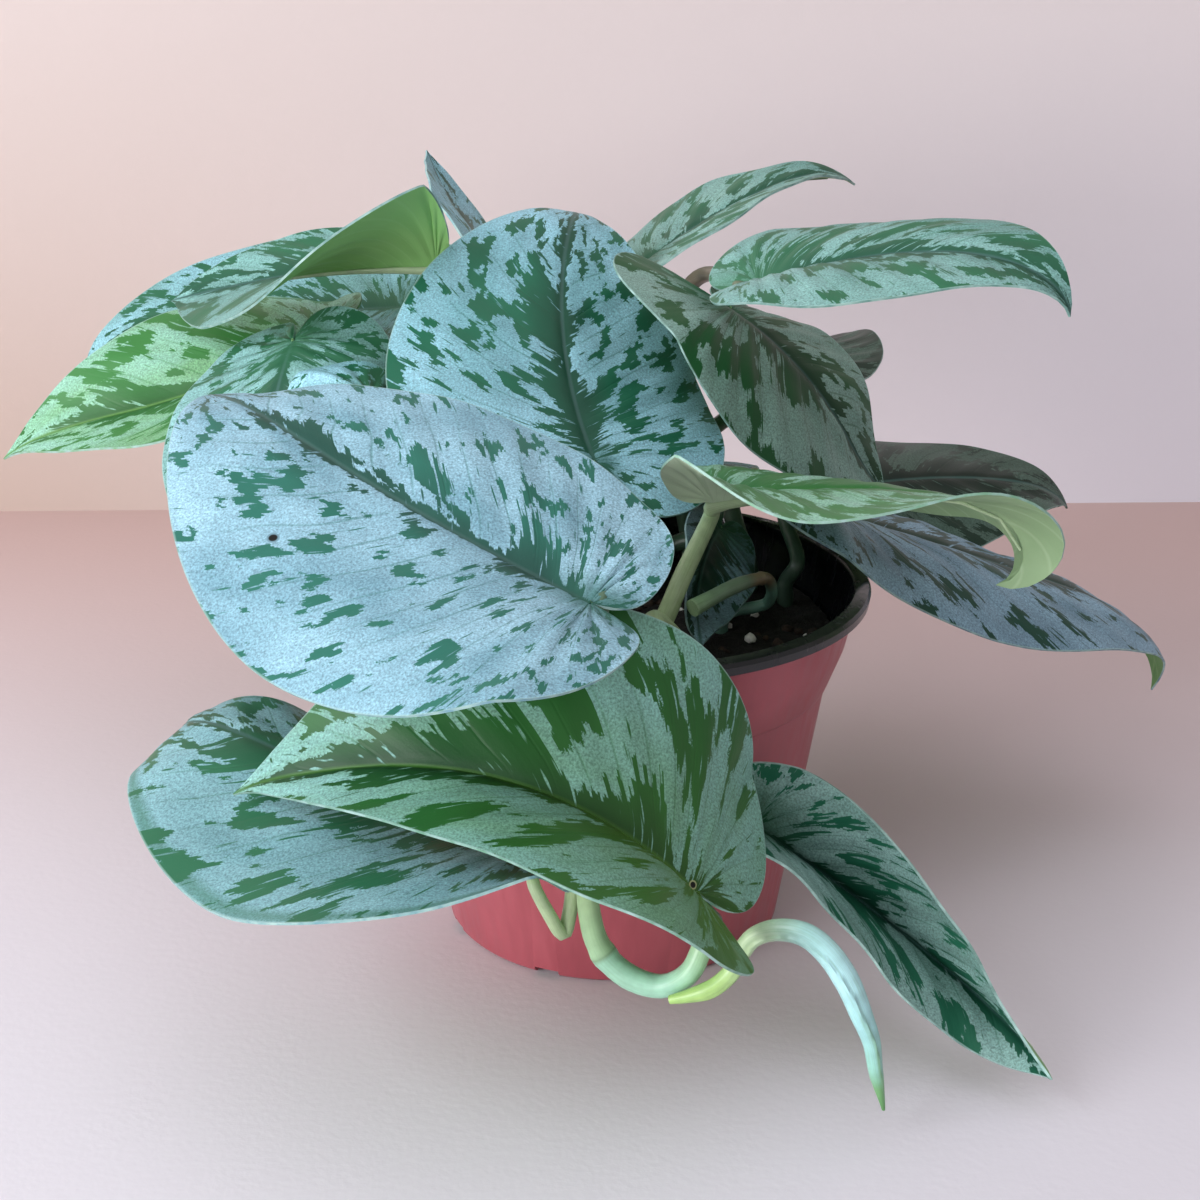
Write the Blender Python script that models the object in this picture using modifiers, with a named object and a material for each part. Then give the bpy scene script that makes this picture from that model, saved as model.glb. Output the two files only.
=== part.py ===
"""A satin pothos with trailing stems in a two-tone nursery pot.

Every leaf is a heart-shaped blade lofted from a few design values (where it hangs, how
long and wide it is, how it folds, cups and droops) and thickened by Solidify, with its
petiole joined to it. The pot and the soil are turned profiles.

Axes: origin at the centre of the pot's flat underside, +Z up, -Y towards the room.
"""
import math
from typing import NamedTuple

import bmesh
import bpy
from mathutils import Vector
from mathutils.geometry import interpolate_bezier

MM = 0.001

# Driving dimensions of the pot, in millimetres
RIM_RADIUS = 65.0
POT_HEIGHT = 92.5
LIP_HEIGHT = 3.6
COLLAR_TOP_RADIUS = 61.5
COLLAR_MID_RADIUS = 58.2
COLLAR_MID_HEIGHT = 75.5
COLLAR_FOOT_RADIUS = 55.4
COLLAR_FOOT_HEIGHT = 67.3
WALL_TOP_RADIUS = 54.5
BASE_RADIUS = 43.6
BASE_CORNER = 1.2
WALL = 1.5
FLOOR_LIFT = 2.6
FOOT_WIDTH = 3.2
CENTRE_PAD_RADIUS = 20.0
DRAIN_COUNT = 8
DRAIN_RADIUS = 3.5
DRAIN_RING_RADIUS = 31.0
NOTCH_COUNT = 8
NOTCH_WIDTH = 6.5
NOTCH_HEIGHT = 1.9
POT_SEGMENTS = 48

# Driving dimensions of the soil and the plant, in millimetres
GAP = 0.3
MERGE = 0.000002
SOIL_LEVEL = 79.0
SOIL_DISH = 1.5
ROOT_DEPTH = 12.0
HOLE_CLEARANCE = 0.35
BLADE_THICKNESS = 0.9
OUTLINE_STATIONS = 12
VEIN_CELLS = 3
SPINE_STEPS = 32
PETIOLE_ROOT_RADIUS = 2.7
PETIOLE_TIP_RADIUS = 2.1
RIB_END_RADIUS = 0.7
RIB_STOPS = ((0.10, 2.2), (0.24, 1.5), (0.42, 1.0))
RIB_DEPTH = 0.9
PETIOLE_STEPS = 9
SEAT_DEPTH = 1.6
SEAT_BACK = 0.5
UPRIGHT_FROM = 3.0
UPRIGHT_RUN = 4.0
CURL_FROM = 0.55
HOOK_FROM = 0.84
VEIN_FROM = 0.22
VEIN_EASE = 1.6
VEIN_BOW = (0.30, 0.62)

# The heart-shaped outline of one half of a blade, from the notch at the petiole to the
# tip, as Bezier arcs: along the midrib in leaf lengths, across it in half widths
HEART = (
    ((0.0, 0.0), (-0.11, 0.03), (-0.17, 0.12), (-0.165, 0.36)),
    ((-0.165, 0.36), (-0.16, 0.72), (0.0, 1.0), (0.24, 1.0)),
    ((0.24, 1.0), (0.50, 1.0), (0.78, 0.46), (0.92, 0.14)),
    ((0.92, 0.14), (0.95, 0.07), (0.98, 0.02), (1.0, 0.0)),
)

LEAF_GREEN = (0.30, 0.45, 0.38)
STEM_GREEN = (0.45, 0.62, 0.42)
TERRACOTTA = (0.50, 0.13, 0.13)
POTTING_MIX = (0.012, 0.010, 0.009)


class Leaf(NamedTuple):
    """One leaf: lengths in millimetres, angles in degrees."""

    base: tuple            # where the blade meets its petiole
    heading: float         # direction of the midrib seen from above, 0 = +X, 90 = +Y
    rise: float            # slope of the midrib at the base
    roll: float            # turn about the midrib, positive lifts the left half
    length: float
    left: float            # half widths
    right: float
    droop: float           # how far the midrib bends down from base to tip
    tip_curl: float        # further bend over the last part
    sweep: float           # sideways bend of the midrib
    twist: float           # turn about the midrib gained from base to tip
    fold_left: tuple       # lift of each half from the midrib: base, middle, tip
    fold_right: tuple
    cup_left: float        # how far each half curves back down towards its edge
    cup_right: float
    root: tuple            # where the petiole leaves the soil, or starts in the air
    via: tuple = ()        # points that the petiole passes
    lobe_left: float = 1.0
    lobe_right: float = 1.0
    fullness: float = 0.0  # moves the widest part towards the tip
    hook: float = 0.0      # extra bend over the last sixth
    reach: tuple = (9, 13)  # how the petiole comes up to the blade: from behind, from below
    girth: float = 1.0     # size of the petiole against the usual


LEAVES = {
    "leaf_front_large": Leaf(
        base=(-5, -81, 115), heading=158, rise=19, roll=-18, length=124, left=54, right=39,
        droop=10, tip_curl=39, sweep=-22, twist=-14, fold_left=(27, 4, 23), fold_right=(5, 5, -29),
        cup_left=33, cup_right=17, root=(1, -10), via=((9, -45, 112), (-2, -76, 115)),
        lobe_left=0.8, lobe_right=0.5, fullness=0.17, reach=(3, 5)),
    "leaf_centre": Leaf(
        base=(-5, 19, 117), heading=114, rise=37, roll=-7, length=109, left=49, right=43,
        droop=2, tip_curl=55, sweep=-36, twist=3, fold_left=(13, 6, -6), fold_right=(0, -10, 9),
        cup_left=26, cup_right=21, root=(-8, 13), via=((-8, 14, 97),),
        lobe_right=1.1, fullness=0.08, reach=(4, 7)),
    "leaf_right_centre": Leaf(
        base=(32, 69, 147), heading=-27, rise=-26, roll=9, length=77, left=31, right=39,
        droop=76, tip_curl=-37, sweep=28, twist=18, fold_left=(-15, 0, 6), fold_right=(21, 16, 31),
        cup_left=25, cup_right=36, root=(21, 43), via=((17, 69, 114),),
        lobe_left=0.8, lobe_right=2.5, fullness=-0.06, hook=-6, reach=(3, 17)),
    "leaf_top_right": Leaf(
        base=(38, 46, 158), heading=-23, rise=24, roll=7, length=93, left=30, right=32,
        droop=28, tip_curl=44, sweep=-27, twist=12, fold_left=(45, 20, 23), fold_right=(23, 12, 11),
        cup_left=61, cup_right=31, root=(9, 46),
        via=((11, 58, 97), (13, 82, 126), (19, 89, 145), (26, 77, 155)),
        lobe_right=0.5, fullness=-0.05, hook=42, reach=(4, 0)),
    "leaf_right_front": Leaf(
        base=(24, -4, 114), heading=-10, rise=13, roll=34, length=97, left=33, right=41,
        droop=27, tip_curl=138, sweep=-12, twist=-35, fold_left=(-8, -21, -15),
        fold_right=(71, 27, 84), cup_left=54, cup_right=6, root=(7, -27), via=((11.5, -25, 89), (17, -19, 100)),
        lobe_left=0.6, lobe_right=0.5, fullness=-0.05, hook=27, reach=(2, 7)),
    "leaf_top_back": Leaf(
        base=(8, 108, 152), heading=23, rise=33, roll=6, length=78, left=26, right=27,
        droop=26, tip_curl=41, sweep=0, twist=2, fold_left=(1, 4, 21), fold_right=(19, 19, 7),
        cup_left=17, cup_right=2, root=(-2, 48), via=((-5, 77, 110),),
        lobe_left=0.9, lobe_right=1.1, fullness=-0.09, reach=(16, 12)),
    "leaf_right_low": Leaf(
        base=(53, 32, 101), heading=11, rise=-19, roll=-6, length=131, left=37, right=40,
        droop=5, tip_curl=55, sweep=5, twist=5, fold_left=(13, 12, -8), fold_right=(11, -2, -1),
        cup_left=38, cup_right=50, root=(45, 14), via=((48, 15, 92),),
        lobe_left=0.9, fullness=0.08, hook=36, reach=(7, 4), girth=0.8),
    "leaf_right_back": Leaf(
        base=(70, 90, 89), heading=22, rise=3, roll=29, length=86, left=33, right=30,
        droop=20, tip_curl=35, sweep=-11, twist=9, fold_left=(10, -13, 23), fold_right=(2, 0, 27),
        cup_left=32, cup_right=10, root=(36, 26), via=((34, 61, 98),),
        lobe_right=0.9, fullness=-0.28, reach=(4, 4)),
    "leaf_back_small": Leaf(
        base=(50, 94, 128), heading=67, rise=-3, roll=24, length=65, left=27, right=25,
        droop=13, tip_curl=78, sweep=11, twist=-62, fold_left=(1, -23, -6), fold_right=(7, 0, 10),
        cup_left=3, cup_right=-3, root=(4, 15), via=((13, 47, 105),),
        lobe_left=0.9, lobe_right=0.9, fullness=-0.18, reach=(16, 12)),
    "leaf_left_fold": Leaf(
        base=(-50.4, 85, 156.1), heading=178, rise=0, roll=-34, length=88, left=42, right=22,
        droop=36, tip_curl=-4, sweep=-8, twist=-20, fold_left=(90, 50, 30), fold_right=(-18, -7, 8),
        cup_left=24, cup_right=16, root=(-14, 46), via=((-27, 78, 125),),
        lobe_left=0.3, lobe_right=0.2, fullness=0.09, reach=(16, 12)),
    "leaf_left_back": Leaf(
        base=(-65, 132, 134), heading=168, rise=-5, roll=-35, length=114, left=37, right=36,
        droop=-8, tip_curl=55, sweep=18, twist=-5, fold_left=(23, 19, 22), fold_right=(-4, -1, 14),
        cup_left=-8, cup_right=-5, root=(-33, 30), via=((-45, 51, 110), (-51, 92, 125)),
        fullness=-0.16, hook=21, reach=(3, 4)),
    "leaf_back_upright": Leaf(
        base=(-27.6, 115, 138.5), heading=119, rise=21, roll=34, length=82, left=29, right=36,
        droop=-8, tip_curl=-11, sweep=3, twist=-16, fold_left=(19, 30, 34), fold_right=(12, -12, -4),
        cup_left=18, cup_right=15, root=(-7, 40), via=((-13, 60, 110),),
        lobe_right=1.5, fullness=-0.03, reach=(8, 5)),
    "leaf_left_far": Leaf(
        base=(-82, 93, 135), heading=186, rise=-28, roll=0, length=109, left=34, right=39,
        droop=-22, tip_curl=39, sweep=-12, twist=-31, fold_left=(-7, 4, 15), fold_right=(25, 49, 23),
        cup_left=-2, cup_right=55, root=(-28, 5), via=((-40, 55, 121),),
        lobe_left=0.6, lobe_right=0.6, fullness=-0.23, reach=(5, 5)),
    "leaf_left_mid": Leaf(
        base=(-89, 63, 139), heading=255, rise=-34, roll=9, length=94, left=35, right=38,
        droop=98, tip_curl=27, sweep=-15, twist=-21, fold_left=(-1, 6, 33), fold_right=(-22, -11, 19),
        cup_left=59, cup_right=-8, root=(-28, -5), via=((-51, 50, 110), (-75, 62, 134)),
        lobe_left=0.9, lobe_right=0.7, fullness=-0.07, reach=(-4, 4)),
    "leaf_left_under": Leaf(
        base=(-64, 34, 130), heading=240, rise=-2, roll=-35, length=77, left=39, right=29,
        droop=93, tip_curl=-8, sweep=8, twist=85, fold_left=(4, -9, 37), fold_right=(-4, -33, -7),
        cup_left=48, cup_right=52, root=(-46, 0), via=((-50, 13, 90),),
        lobe_left=0.7, lobe_right=1.1, fullness=0.11, reach=(3, 16)),
    "leaf_lower_front": Leaf(
        base=(18, -100, 56), heading=179, rise=49, roll=-31, length=112, left=30, right=46,
        droop=83, tip_curl=-22, sweep=24, twist=6, fold_left=(39, 19, -6), fold_right=(-5, 40, 17),
        cup_left=13, cup_right=6, root=(20.2, -92.9, 40.5), via=((21.6, -93.2, 44.5),),
        lobe_left=0.9, lobe_right=0.8, fullness=-0.16, hook=20, reach=(6, 3)),
    "leaf_lower_left": Leaf(
        base=(-18, -86, 57), heading=174, rise=22, roll=-21, length=117, left=49, right=38,
        droop=33, tip_curl=107, sweep=-29, twist=-10, fold_left=(46, 0, 5), fold_right=(-7, -12, 9),
        cup_left=2, cup_right=64, root=(-9.1, -82.5, 60),
        via=((-9, -82, 48), (-9.9, -83, 41), (-11.3, -84, 36.8), (-14.5, -86, 43.4), (-17.5, -87, 50.7)),
        lobe_left=0.5, lobe_right=0.5, fullness=0.07, reach=(2, 5), girth=0.7),
    "leaf_lower_right": Leaf(
        base=(33, -49, 47), heading=-7, rise=-34, roll=63, length=99, left=24, right=28,
        droop=-53, tip_curl=-38, sweep=-9, twist=17, fold_left=(43, 56, 80), fold_right=(72, 66, 5),
        cup_left=5, cup_right=-9, root=(16, -32), via=((9, -53, 100), (15, -73, 88), (26, -64, 61)),
        lobe_left=0.8, reach=(9, -12)),
    "leaf_inner": Leaf(
        base=(28, 23, 98), heading=-109, rise=-9, roll=-48, length=55, left=15, right=11,
        droop=-4, tip_curl=-11, sweep=25, twist=21, fold_left=(-2, 9, 20), fold_right=(12, 42, 2),
        cup_left=-9, cup_right=20, root=(13, 32), via=((16, 32, 90),),
        lobe_left=0.8, fullness=0.11, hook=20, reach=(3, 6)),
    "leaf_rear_left": Leaf(
        base=(-38, 71, 98), heading=127, rise=-8, roll=4, length=88, left=31, right=27,
        droop=38, tip_curl=25, sweep=8, twist=0, fold_left=(16, 12, 8), fold_right=(14, 12, 8),
        cup_left=22, cup_right=24, root=(-25, 41), via=((-30, 54, 99),), reach=(8, 4)),
    "leaf_rear_right": Leaf(
        base=(13, 80, 97), heading=83, rise=-12, roll=2, length=92, left=26, right=28,
        droop=45, tip_curl=20, sweep=-6, twist=0, fold_left=(12, 12, 10), fold_right=(16, 12, 8),
        cup_left=26, cup_right=22, root=(-5, 28), via=((0, 45, 101),), reach=(6, 4)),
}

# Bare stems: the points that each one passes and its radius from end to end
STEMS = {
    "stem_front": (
        ((-8, -41, 67), (-8, -41, 82), (-8, -52, 97), (-8, -66, 103), (-8, -79, 95), (-8, -85, 76),
         (-6.5, -86, 58), (-5.8, -86, 48.5), (-5.2, -86.3, 42.7), (-3.8, -87, 37), (-0.7, -88, 32),
         (4.9, -90, 28.6), (11.5, -92, 28.3), (17, -94, 33.1), (20, -93, 40)),
        (2.4, 2.4, 2.3, 2.3, 2.4, 2.9, 2.3)),
    "leaf_new": (
        ((12.5, -96.6, 27.6), (16.5, -97.5, 29.1), (21.7, -98, 31.4), (25.8, -97.5, 35.2),
         (27.7, -97, 39.6), (30.6, -97.5, 44.1), (35.5, -99.5, 47), (41.3, -102, 47.2),
         (46.2, -104, 43.8), (50.3, -106, 38.1), (53.5, -107, 30.6), (56, -107, 23.7),
         (57.2, -107, 16.6), (58.9, -107, 8.7), (59.3, -107, 6.5)),
        (1.4, 2.0, 2.0, 2.1, 2.4, 2.7, 2.8, 2.5, 2.0, 1.6, 0.5)),
    "stem_stub": (
        ((27, -6, 67), (27, -6, 81.5), (28, -5.7, 84), (31, -4.5, 85), (35, -3.5, 85.2),
         (38.8, -3.5, 86.5), (39.8, -6, 90.5), (38.3, -9, 94.8), (35, -12, 95.8), (29, -17, 95.5),
         (19, -25, 93)),
        (2.0, 1.6, 1.5, 1.5, 1.6, 1.9, 1.9, 2.2)),
}


def clear_scene():
    """Start from an empty scene."""
    for obj in list(bpy.data.objects):
        bpy.data.objects.remove(obj, do_unlink=True)


def new_collection(name):
    collection = bpy.data.collections.new(name)
    bpy.context.scene.collection.children.link(collection)
    return collection


def make_material(name, colour, roughness):
    """A plain Principled BSDF material."""
    material = bpy.data.materials.new(name)
    material.use_nodes = True
    shader = material.node_tree.nodes["Principled BSDF"]
    shader.inputs["Base Color"].default_value = (*colour, 1.0)
    shader.inputs["Roughness"].default_value = roughness
    shader.inputs["Metallic"].default_value = 0.0
    return material


def add_object(name, data, collection, material=None):
    obj = bpy.data.objects.new(name, data)
    collection.objects.link(obj)
    if material is not None:
        data.materials.append(material)
    return obj


def applied(obj, name=None, merge=0.00002):
    """Replace an object by a mesh object that holds its evaluated shape."""
    graph = bpy.context.evaluated_depsgraph_get()
    mesh = bpy.data.meshes.new_from_object(obj.evaluated_get(graph))
    edit = bmesh.new()
    edit.from_mesh(mesh)
    bmesh.ops.remove_doubles(edit, verts=edit.verts, dist=merge)
    edit.to_mesh(mesh)
    edit.free()
    result = bpy.data.objects.new(name or obj.name, mesh)
    result.matrix_world = obj.matrix_world.copy()
    for collection in obj.users_collection:
        collection.objects.link(result)
    old = obj.name
    bpy.data.objects.remove(obj, do_unlink=True)
    result.name = name or old
    return result


def boolean(obj, other, operation):
    """Apply one exact Boolean and remove the object that it used."""
    cut = obj.modifiers.new(operation.title(), "BOOLEAN")
    cut.operation = operation
    cut.solver = "EXACT"
    cut.use_self = operation == "UNION"
    cut.object = other
    bpy.context.view_layer.update()
    result = applied(obj, merge=MERGE)
    bpy.data.objects.remove(other, do_unlink=True)
    return result


def turned(name, profile, segments, collection, material):
    """Turn a profile of (radius, height) points in millimetres about Z."""
    mesh = bpy.data.meshes.new(name)
    verts = [(radius * MM, 0.0, height * MM) for radius, height in profile]
    mesh.from_pydata(verts, [(i, i + 1) for i in range(len(verts) - 1)], [])
    obj = add_object(name, mesh, collection, material)
    screw = obj.modifiers.new("Screw", "SCREW")
    screw.axis = "Z"
    screw.steps = segments
    screw.render_steps = segments
    screw.use_merge_vertices = True
    screw.merge_threshold = 0.00005
    screw.use_smooth_shade = True
    return obj


def wall_radius(height):
    """Outside radius of the pot's wall at a height."""
    share = height / COLLAR_FOOT_HEIGHT
    return BASE_RADIUS + (WALL_TOP_RADIUS - BASE_RADIUS) * share


def pot_profile():
    """The pot's section from the middle of its floor, over the lip, to the base pad."""
    lip_foot = POT_HEIGHT - LIP_HEIGHT
    inner = RIM_RADIUS - 4.7
    floor_top = FLOOR_LIFT + WALL
    foot_inner = BASE_RADIUS - FOOT_WIDTH
    inside = [
        (0.0, floor_top),
        (wall_radius(floor_top) - WALL, floor_top),
        (wall_radius(COLLAR_FOOT_HEIGHT) - WALL, COLLAR_FOOT_HEIGHT + 1.0),
        (COLLAR_MID_RADIUS - WALL, COLLAR_MID_HEIGHT),
        (inner, POT_HEIGHT - 1.2),
        (inner + 0.9, POT_HEIGHT),
    ]
    outside = [
        (RIM_RADIUS - 1.4, POT_HEIGHT),
        (RIM_RADIUS, POT_HEIGHT - 1.4),
        (RIM_RADIUS - 0.4, lip_foot),
        (COLLAR_TOP_RADIUS, lip_foot),
        (COLLAR_MID_RADIUS, COLLAR_MID_HEIGHT),
        (COLLAR_FOOT_RADIUS, COLLAR_FOOT_HEIGHT + 0.5),
        (WALL_TOP_RADIUS, COLLAR_FOOT_HEIGHT - 0.3),
        (wall_radius(BASE_CORNER), BASE_CORNER),
        (BASE_RADIUS - BASE_CORNER, 0.0),
    ]
    underside = [
        (foot_inner, 0.0),
        (foot_inner - 1.0, FLOOR_LIFT),
        (CENTRE_PAD_RADIUS + 2.0, FLOOR_LIFT),
        (CENTRE_PAD_RADIUS, 0.0),
        (0.0, 0.0),
    ]
    return inside + outside + underside


def cylinder(name, radius, low, high, place, collection, sides=16):
    """A closed upright cylinder for cutting, sizes in millimetres."""
    bpy.ops.mesh.primitive_cylinder_add(
        vertices=sides, radius=radius * MM, depth=(high - low) * MM,
        location=(place[0] * MM, place[1] * MM, (high + low) / 2 * MM))
    return adopt(name, collection)


def adopt(name, collection):
    """Name the primitive just added and move it to its collection."""
    obj = bpy.context.object
    obj.name = name
    for old in list(obj.users_collection):
        old.objects.unlink(obj)
    collection.objects.link(obj)
    obj.hide_render = True
    obj.display_type = "WIRE"
    return obj


def make_pot(parts, cutters):
    """The thin pot with drain holes in its floor and notches in its foot ring."""
    material = make_material("pot_terracotta", TERRACOTTA, 0.45)
    pot = applied(turned("pot", pot_profile(), POT_SEGMENTS, parts, material))
    for index in range(DRAIN_COUNT):
        angle = 2 * math.pi * index / DRAIN_COUNT
        place = (DRAIN_RING_RADIUS * math.cos(angle), DRAIN_RING_RADIUS * math.sin(angle))
        hole = cylinder("drain", DRAIN_RADIUS, 1.0, FLOOR_LIFT + WALL + 2.0, place, cutters, 12)
        pot = boolean(pot, hole, "DIFFERENCE")
    for index in range(NOTCH_COUNT):
        angle = 2 * math.pi * (index + 0.5) / NOTCH_COUNT - math.pi / 2
        reach = BASE_RADIUS - 1.5
        bpy.ops.mesh.primitive_cube_add(
            size=1.0, location=(reach * math.cos(angle) * MM, reach * math.sin(angle) * MM, 0.0),
            rotation=(0.0, 0.0, angle))
        notch = adopt("notch", cutters)
        notch.scale = (8.0 * MM, NOTCH_WIDTH * MM, NOTCH_HEIGHT * 2 * MM)
        bpy.context.view_layer.update()
        pot = boolean(pot, notch, "DIFFERENCE")
    shade(pot, 30.0)
    return pot


def shade(obj, angle):
    """Shade smooth, with edges sharper than the angle kept."""
    obj.data.shade_smooth()
    obj.data.set_sharp_from_angle(angle=math.radians(angle))


def make_soil(roots, parts, cutters):
    """The potting mix, turned to the pot's inside, with a plain hole for each stem."""
    floor_top = FLOOR_LIFT + WALL + GAP
    clear = WALL + GAP + 0.15
    profile = [
        (0.0, SOIL_LEVEL + SOIL_DISH),
        (30.0, SOIL_LEVEL + SOIL_DISH * 0.7),
        (COLLAR_MID_RADIUS - clear - 1.6, SOIL_LEVEL - 2.0),
        (COLLAR_MID_RADIUS - clear, COLLAR_MID_HEIGHT),
        (wall_radius(COLLAR_FOOT_HEIGHT) - clear, COLLAR_FOOT_HEIGHT + 1.0),
        (wall_radius(floor_top) - clear, floor_top),
        (0.0, floor_top),
    ]
    material = make_material("potting_mix", POTTING_MIX, 0.95)
    soil = applied(turned("soil", profile, POT_SEGMENTS, parts, material))
    low = SOIL_LEVEL - ROOT_DEPTH - GAP
    high = SOIL_LEVEL + 8.0
    for place, radius in roots:
        hole = cylinder("stem_hole", radius + HOLE_CLEARANCE, low, high, place, cutters, 10)
        soil = boolean(soil, hole, "DIFFERENCE")
    shade(soil, 40.0)
    return soil


def half_outline(stations):
    """Points evenly spaced along one half of the heart, from notch to tip."""
    points = []
    for arc in HEART:
        curve = interpolate_bezier(*[Vector((*p, 0.0)) for p in arc], 40)
        points.extend(curve if not points else curve[1:])
    run = [0.0]
    for first, second in zip(points, points[1:]):
        step = second - first
        run.append(run[-1] + math.hypot(step.x, step.y * 0.38))
    outline = []
    for index in range(stations):
        goal = run[-1] * index / (stations - 1)
        k = next(i for i in range(1, len(run)) if run[i] >= goal - 1e-9)
        share = (goal - run[k - 1]) / (run[k] - run[k - 1])
        outline.append(points[k - 1].lerp(points[k], share))
    return outline


def spine_frames(leaf):
    """Points and axes (along, left, up) along the midrib, base to tip."""
    heading, rise, roll = (math.radians(a) for a in (leaf.heading, leaf.rise, leaf.roll))
    along = Vector((math.cos(heading) * math.cos(rise), math.sin(heading) * math.cos(rise),
                    math.sin(rise)))
    up = (Vector((0.0, 0.0, 1.0)) - along * along.z).normalized()
    left = up.cross(along)
    left, up = (left * math.cos(roll) + up * math.sin(roll),
                up * math.cos(roll) - left * math.sin(roll))
    steps = SPINE_STEPS
    marks = [(k + 0.5) / steps for k in range(steps)]
    curl = [max(0.0, mark - CURL_FROM) for mark in marks]
    hook = [max(0.0, mark - HOOK_FROM) for mark in marks]
    bends = [leaf.droop / steps + leaf.tip_curl * c / sum(curl) + leaf.hook * h / sum(hook)
             for c, h in zip(curl, hook)]
    sweep = math.radians(leaf.sweep) / steps
    twist = math.radians(leaf.twist) / steps
    frames = [(Vector(leaf.base), along, left, up)]
    for bend in (math.radians(b) for b in bends):
        point, along, left, up = frames[-1]
        dipped = along * math.cos(bend) - up * math.sin(bend)
        raised = up * math.cos(bend) + along * math.sin(bend)
        swept = dipped * math.cos(sweep) + left * math.sin(sweep)
        side = left * math.cos(sweep) - dipped * math.sin(sweep)
        turned_left = side * math.cos(twist) + raised * math.sin(twist)
        turned_up = raised * math.cos(twist) - side * math.sin(twist)
        step = (along + swept) * (leaf.length / steps / 2)
        frames.append((point + step, swept, turned_left, turned_up))
    return frames


def frame_at(frames, share):
    """The point and axes at a share of the midrib's length."""
    place = min(max(share, 0.0), 1.0) * (len(frames) - 1)
    k = min(int(place), len(frames) - 2)
    return tuple(a.lerp(b, place - k) for a, b in zip(frames[k], frames[k + 1]))


def fold_at(folds, share):
    """Fold angle at a share of the length, through its base, middle and tip values."""
    base, middle, tip = folds
    s = min(max(share, 0.0), 1.0)
    return base * (1 - s) * (1 - 2 * s) + middle * 4 * s * (1 - s) + tip * s * (2 * s - 1)


def blade_point(leaf, frames, side, x, y):
    """Bend a point of the flat blade (x along, y out from the midrib) into place."""
    share = x / leaf.length
    point, along, left, up = frame_at(frames, share)
    point = point + along * min(x, 0.0)
    width, folds, cup = ((leaf.left, leaf.fold_left, leaf.cup_left) if side > 0
                         else (leaf.right, leaf.fold_right, leaf.cup_right))
    fold = math.radians(fold_at(folds, share))
    curve = math.radians(cup) / width
    if abs(curve) < 1e-5:
        curve = 1e-5
    out = (math.sin(fold) - math.sin(fold - curve * y)) / curve
    lift = (math.cos(fold - curve * y) - math.cos(fold)) / curve
    return point + left * (side * out) + up * lift


def blade_row(leaf, frames, station, mark):
    """Points of one vein pair, from the left edge over the midrib to the right edge."""
    row = []
    start = leaf.length * (max(mark - VEIN_FROM, 0.0) / (1.0 - VEIN_FROM)) ** VEIN_EASE
    for side in (1, -1):
        width, lobe = ((leaf.left, leaf.lobe_left) if side > 0
                       else (leaf.right, leaf.lobe_right))
        x = station.x * lobe
        if station.x > 0:
            x = station.x + leaf.fullness * station.x * (1 - station.x)
        edge = (x * leaf.length, station.y * width)
        bow = (start + VEIN_BOW[0] * (edge[0] - start), VEIN_BOW[1] * edge[1])
        half = []
        for cell in range(VEIN_CELLS + 1):
            t = cell / VEIN_CELLS
            px = (1 - t) ** 2 * start + 2 * t * (1 - t) * bow[0] + t * t * edge[0]
            py = 2 * t * (1 - t) * bow[1] + t * t * edge[1]
            half.append(blade_point(leaf, frames, side, px, py))
        row = list(reversed(half)) if side > 0 else row + half[1:]
    return row


def make_blade(name, leaf, frames, parts, material):
    """The blade as a thin closed solid, split into triangles alike on both faces."""
    outline = half_outline(OUTLINE_STATIONS)
    rows = [blade_row(leaf, frames, station, index / (OUTLINE_STATIONS - 1))
            for index, station in enumerate(outline)]
    edit = bmesh.new()
    grid = [[edit.verts.new(p * MM) for p in row] for row in rows]
    for first, second in zip(grid, grid[1:]):
        for k in range(len(first) - 1):
            edit.faces.new((first[k], second[k], second[k + 1], first[k + 1]))
    bmesh.ops.remove_doubles(edit, verts=edit.verts, dist=0.0003)
    bmesh.ops.triangulate(edit, faces=edit.faces)
    mesh = bpy.data.meshes.new(name)
    edit.to_mesh(mesh)
    edit.free()
    blade = add_object(name, mesh, parts, material)
    shell = blade.modifiers.new("Thickness", "SOLIDIFY")
    shell.thickness = BLADE_THICKNESS * MM
    shell.offset = 0.0
    return applied(blade)


def smooth_route(points, steps):
    """Evenly spaced points on a Catmull-Rom curve through the given points."""
    ends = [points[0] * 2 - points[1], *points, points[-1] * 2 - points[-2]]
    dense = []
    for a, b, c, d in zip(ends, ends[1:], ends[2:], ends[3:]):
        for k in range(12):
            t = k / 12
            dense.append(0.5 * ((2 * b) + (c - a) * t + (2 * a - 5 * b + 4 * c - d) * t * t
                                + (3 * b - a - 3 * c + d) * t ** 3))
    dense.append(points[-1])
    run = [0.0]
    for first, second in zip(dense, dense[1:]):
        run.append(run[-1] + (second - first).length)
    route = []
    for index in range(steps + 1):
        goal = run[-1] * index / steps
        k = next(i for i in range(1, len(run)) if run[i] >= goal - 1e-9)
        route.append(dense[k - 1].lerp(dense[k], (goal - run[k - 1]) / (run[k] - run[k - 1])))
    return route


def tube(name, route, radii, collection, material, sides=1):
    """A round stem along a route, with a radius at each point, as a closed mesh."""
    curve = bpy.data.curves.new(name, "CURVE")
    curve.dimensions = "3D"
    curve.bevel_depth = MM
    curve.bevel_resolution = sides
    curve.use_fill_caps = True
    spline = curve.splines.new("POLY")
    spline.points.add(len(route) - 1)
    for point, place, radius in zip(spline.points, route, radii):
        point.co = (*(place * MM), 1.0)
        point.radius = radius
    return applied(add_object(name, curve, collection, material))


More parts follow.
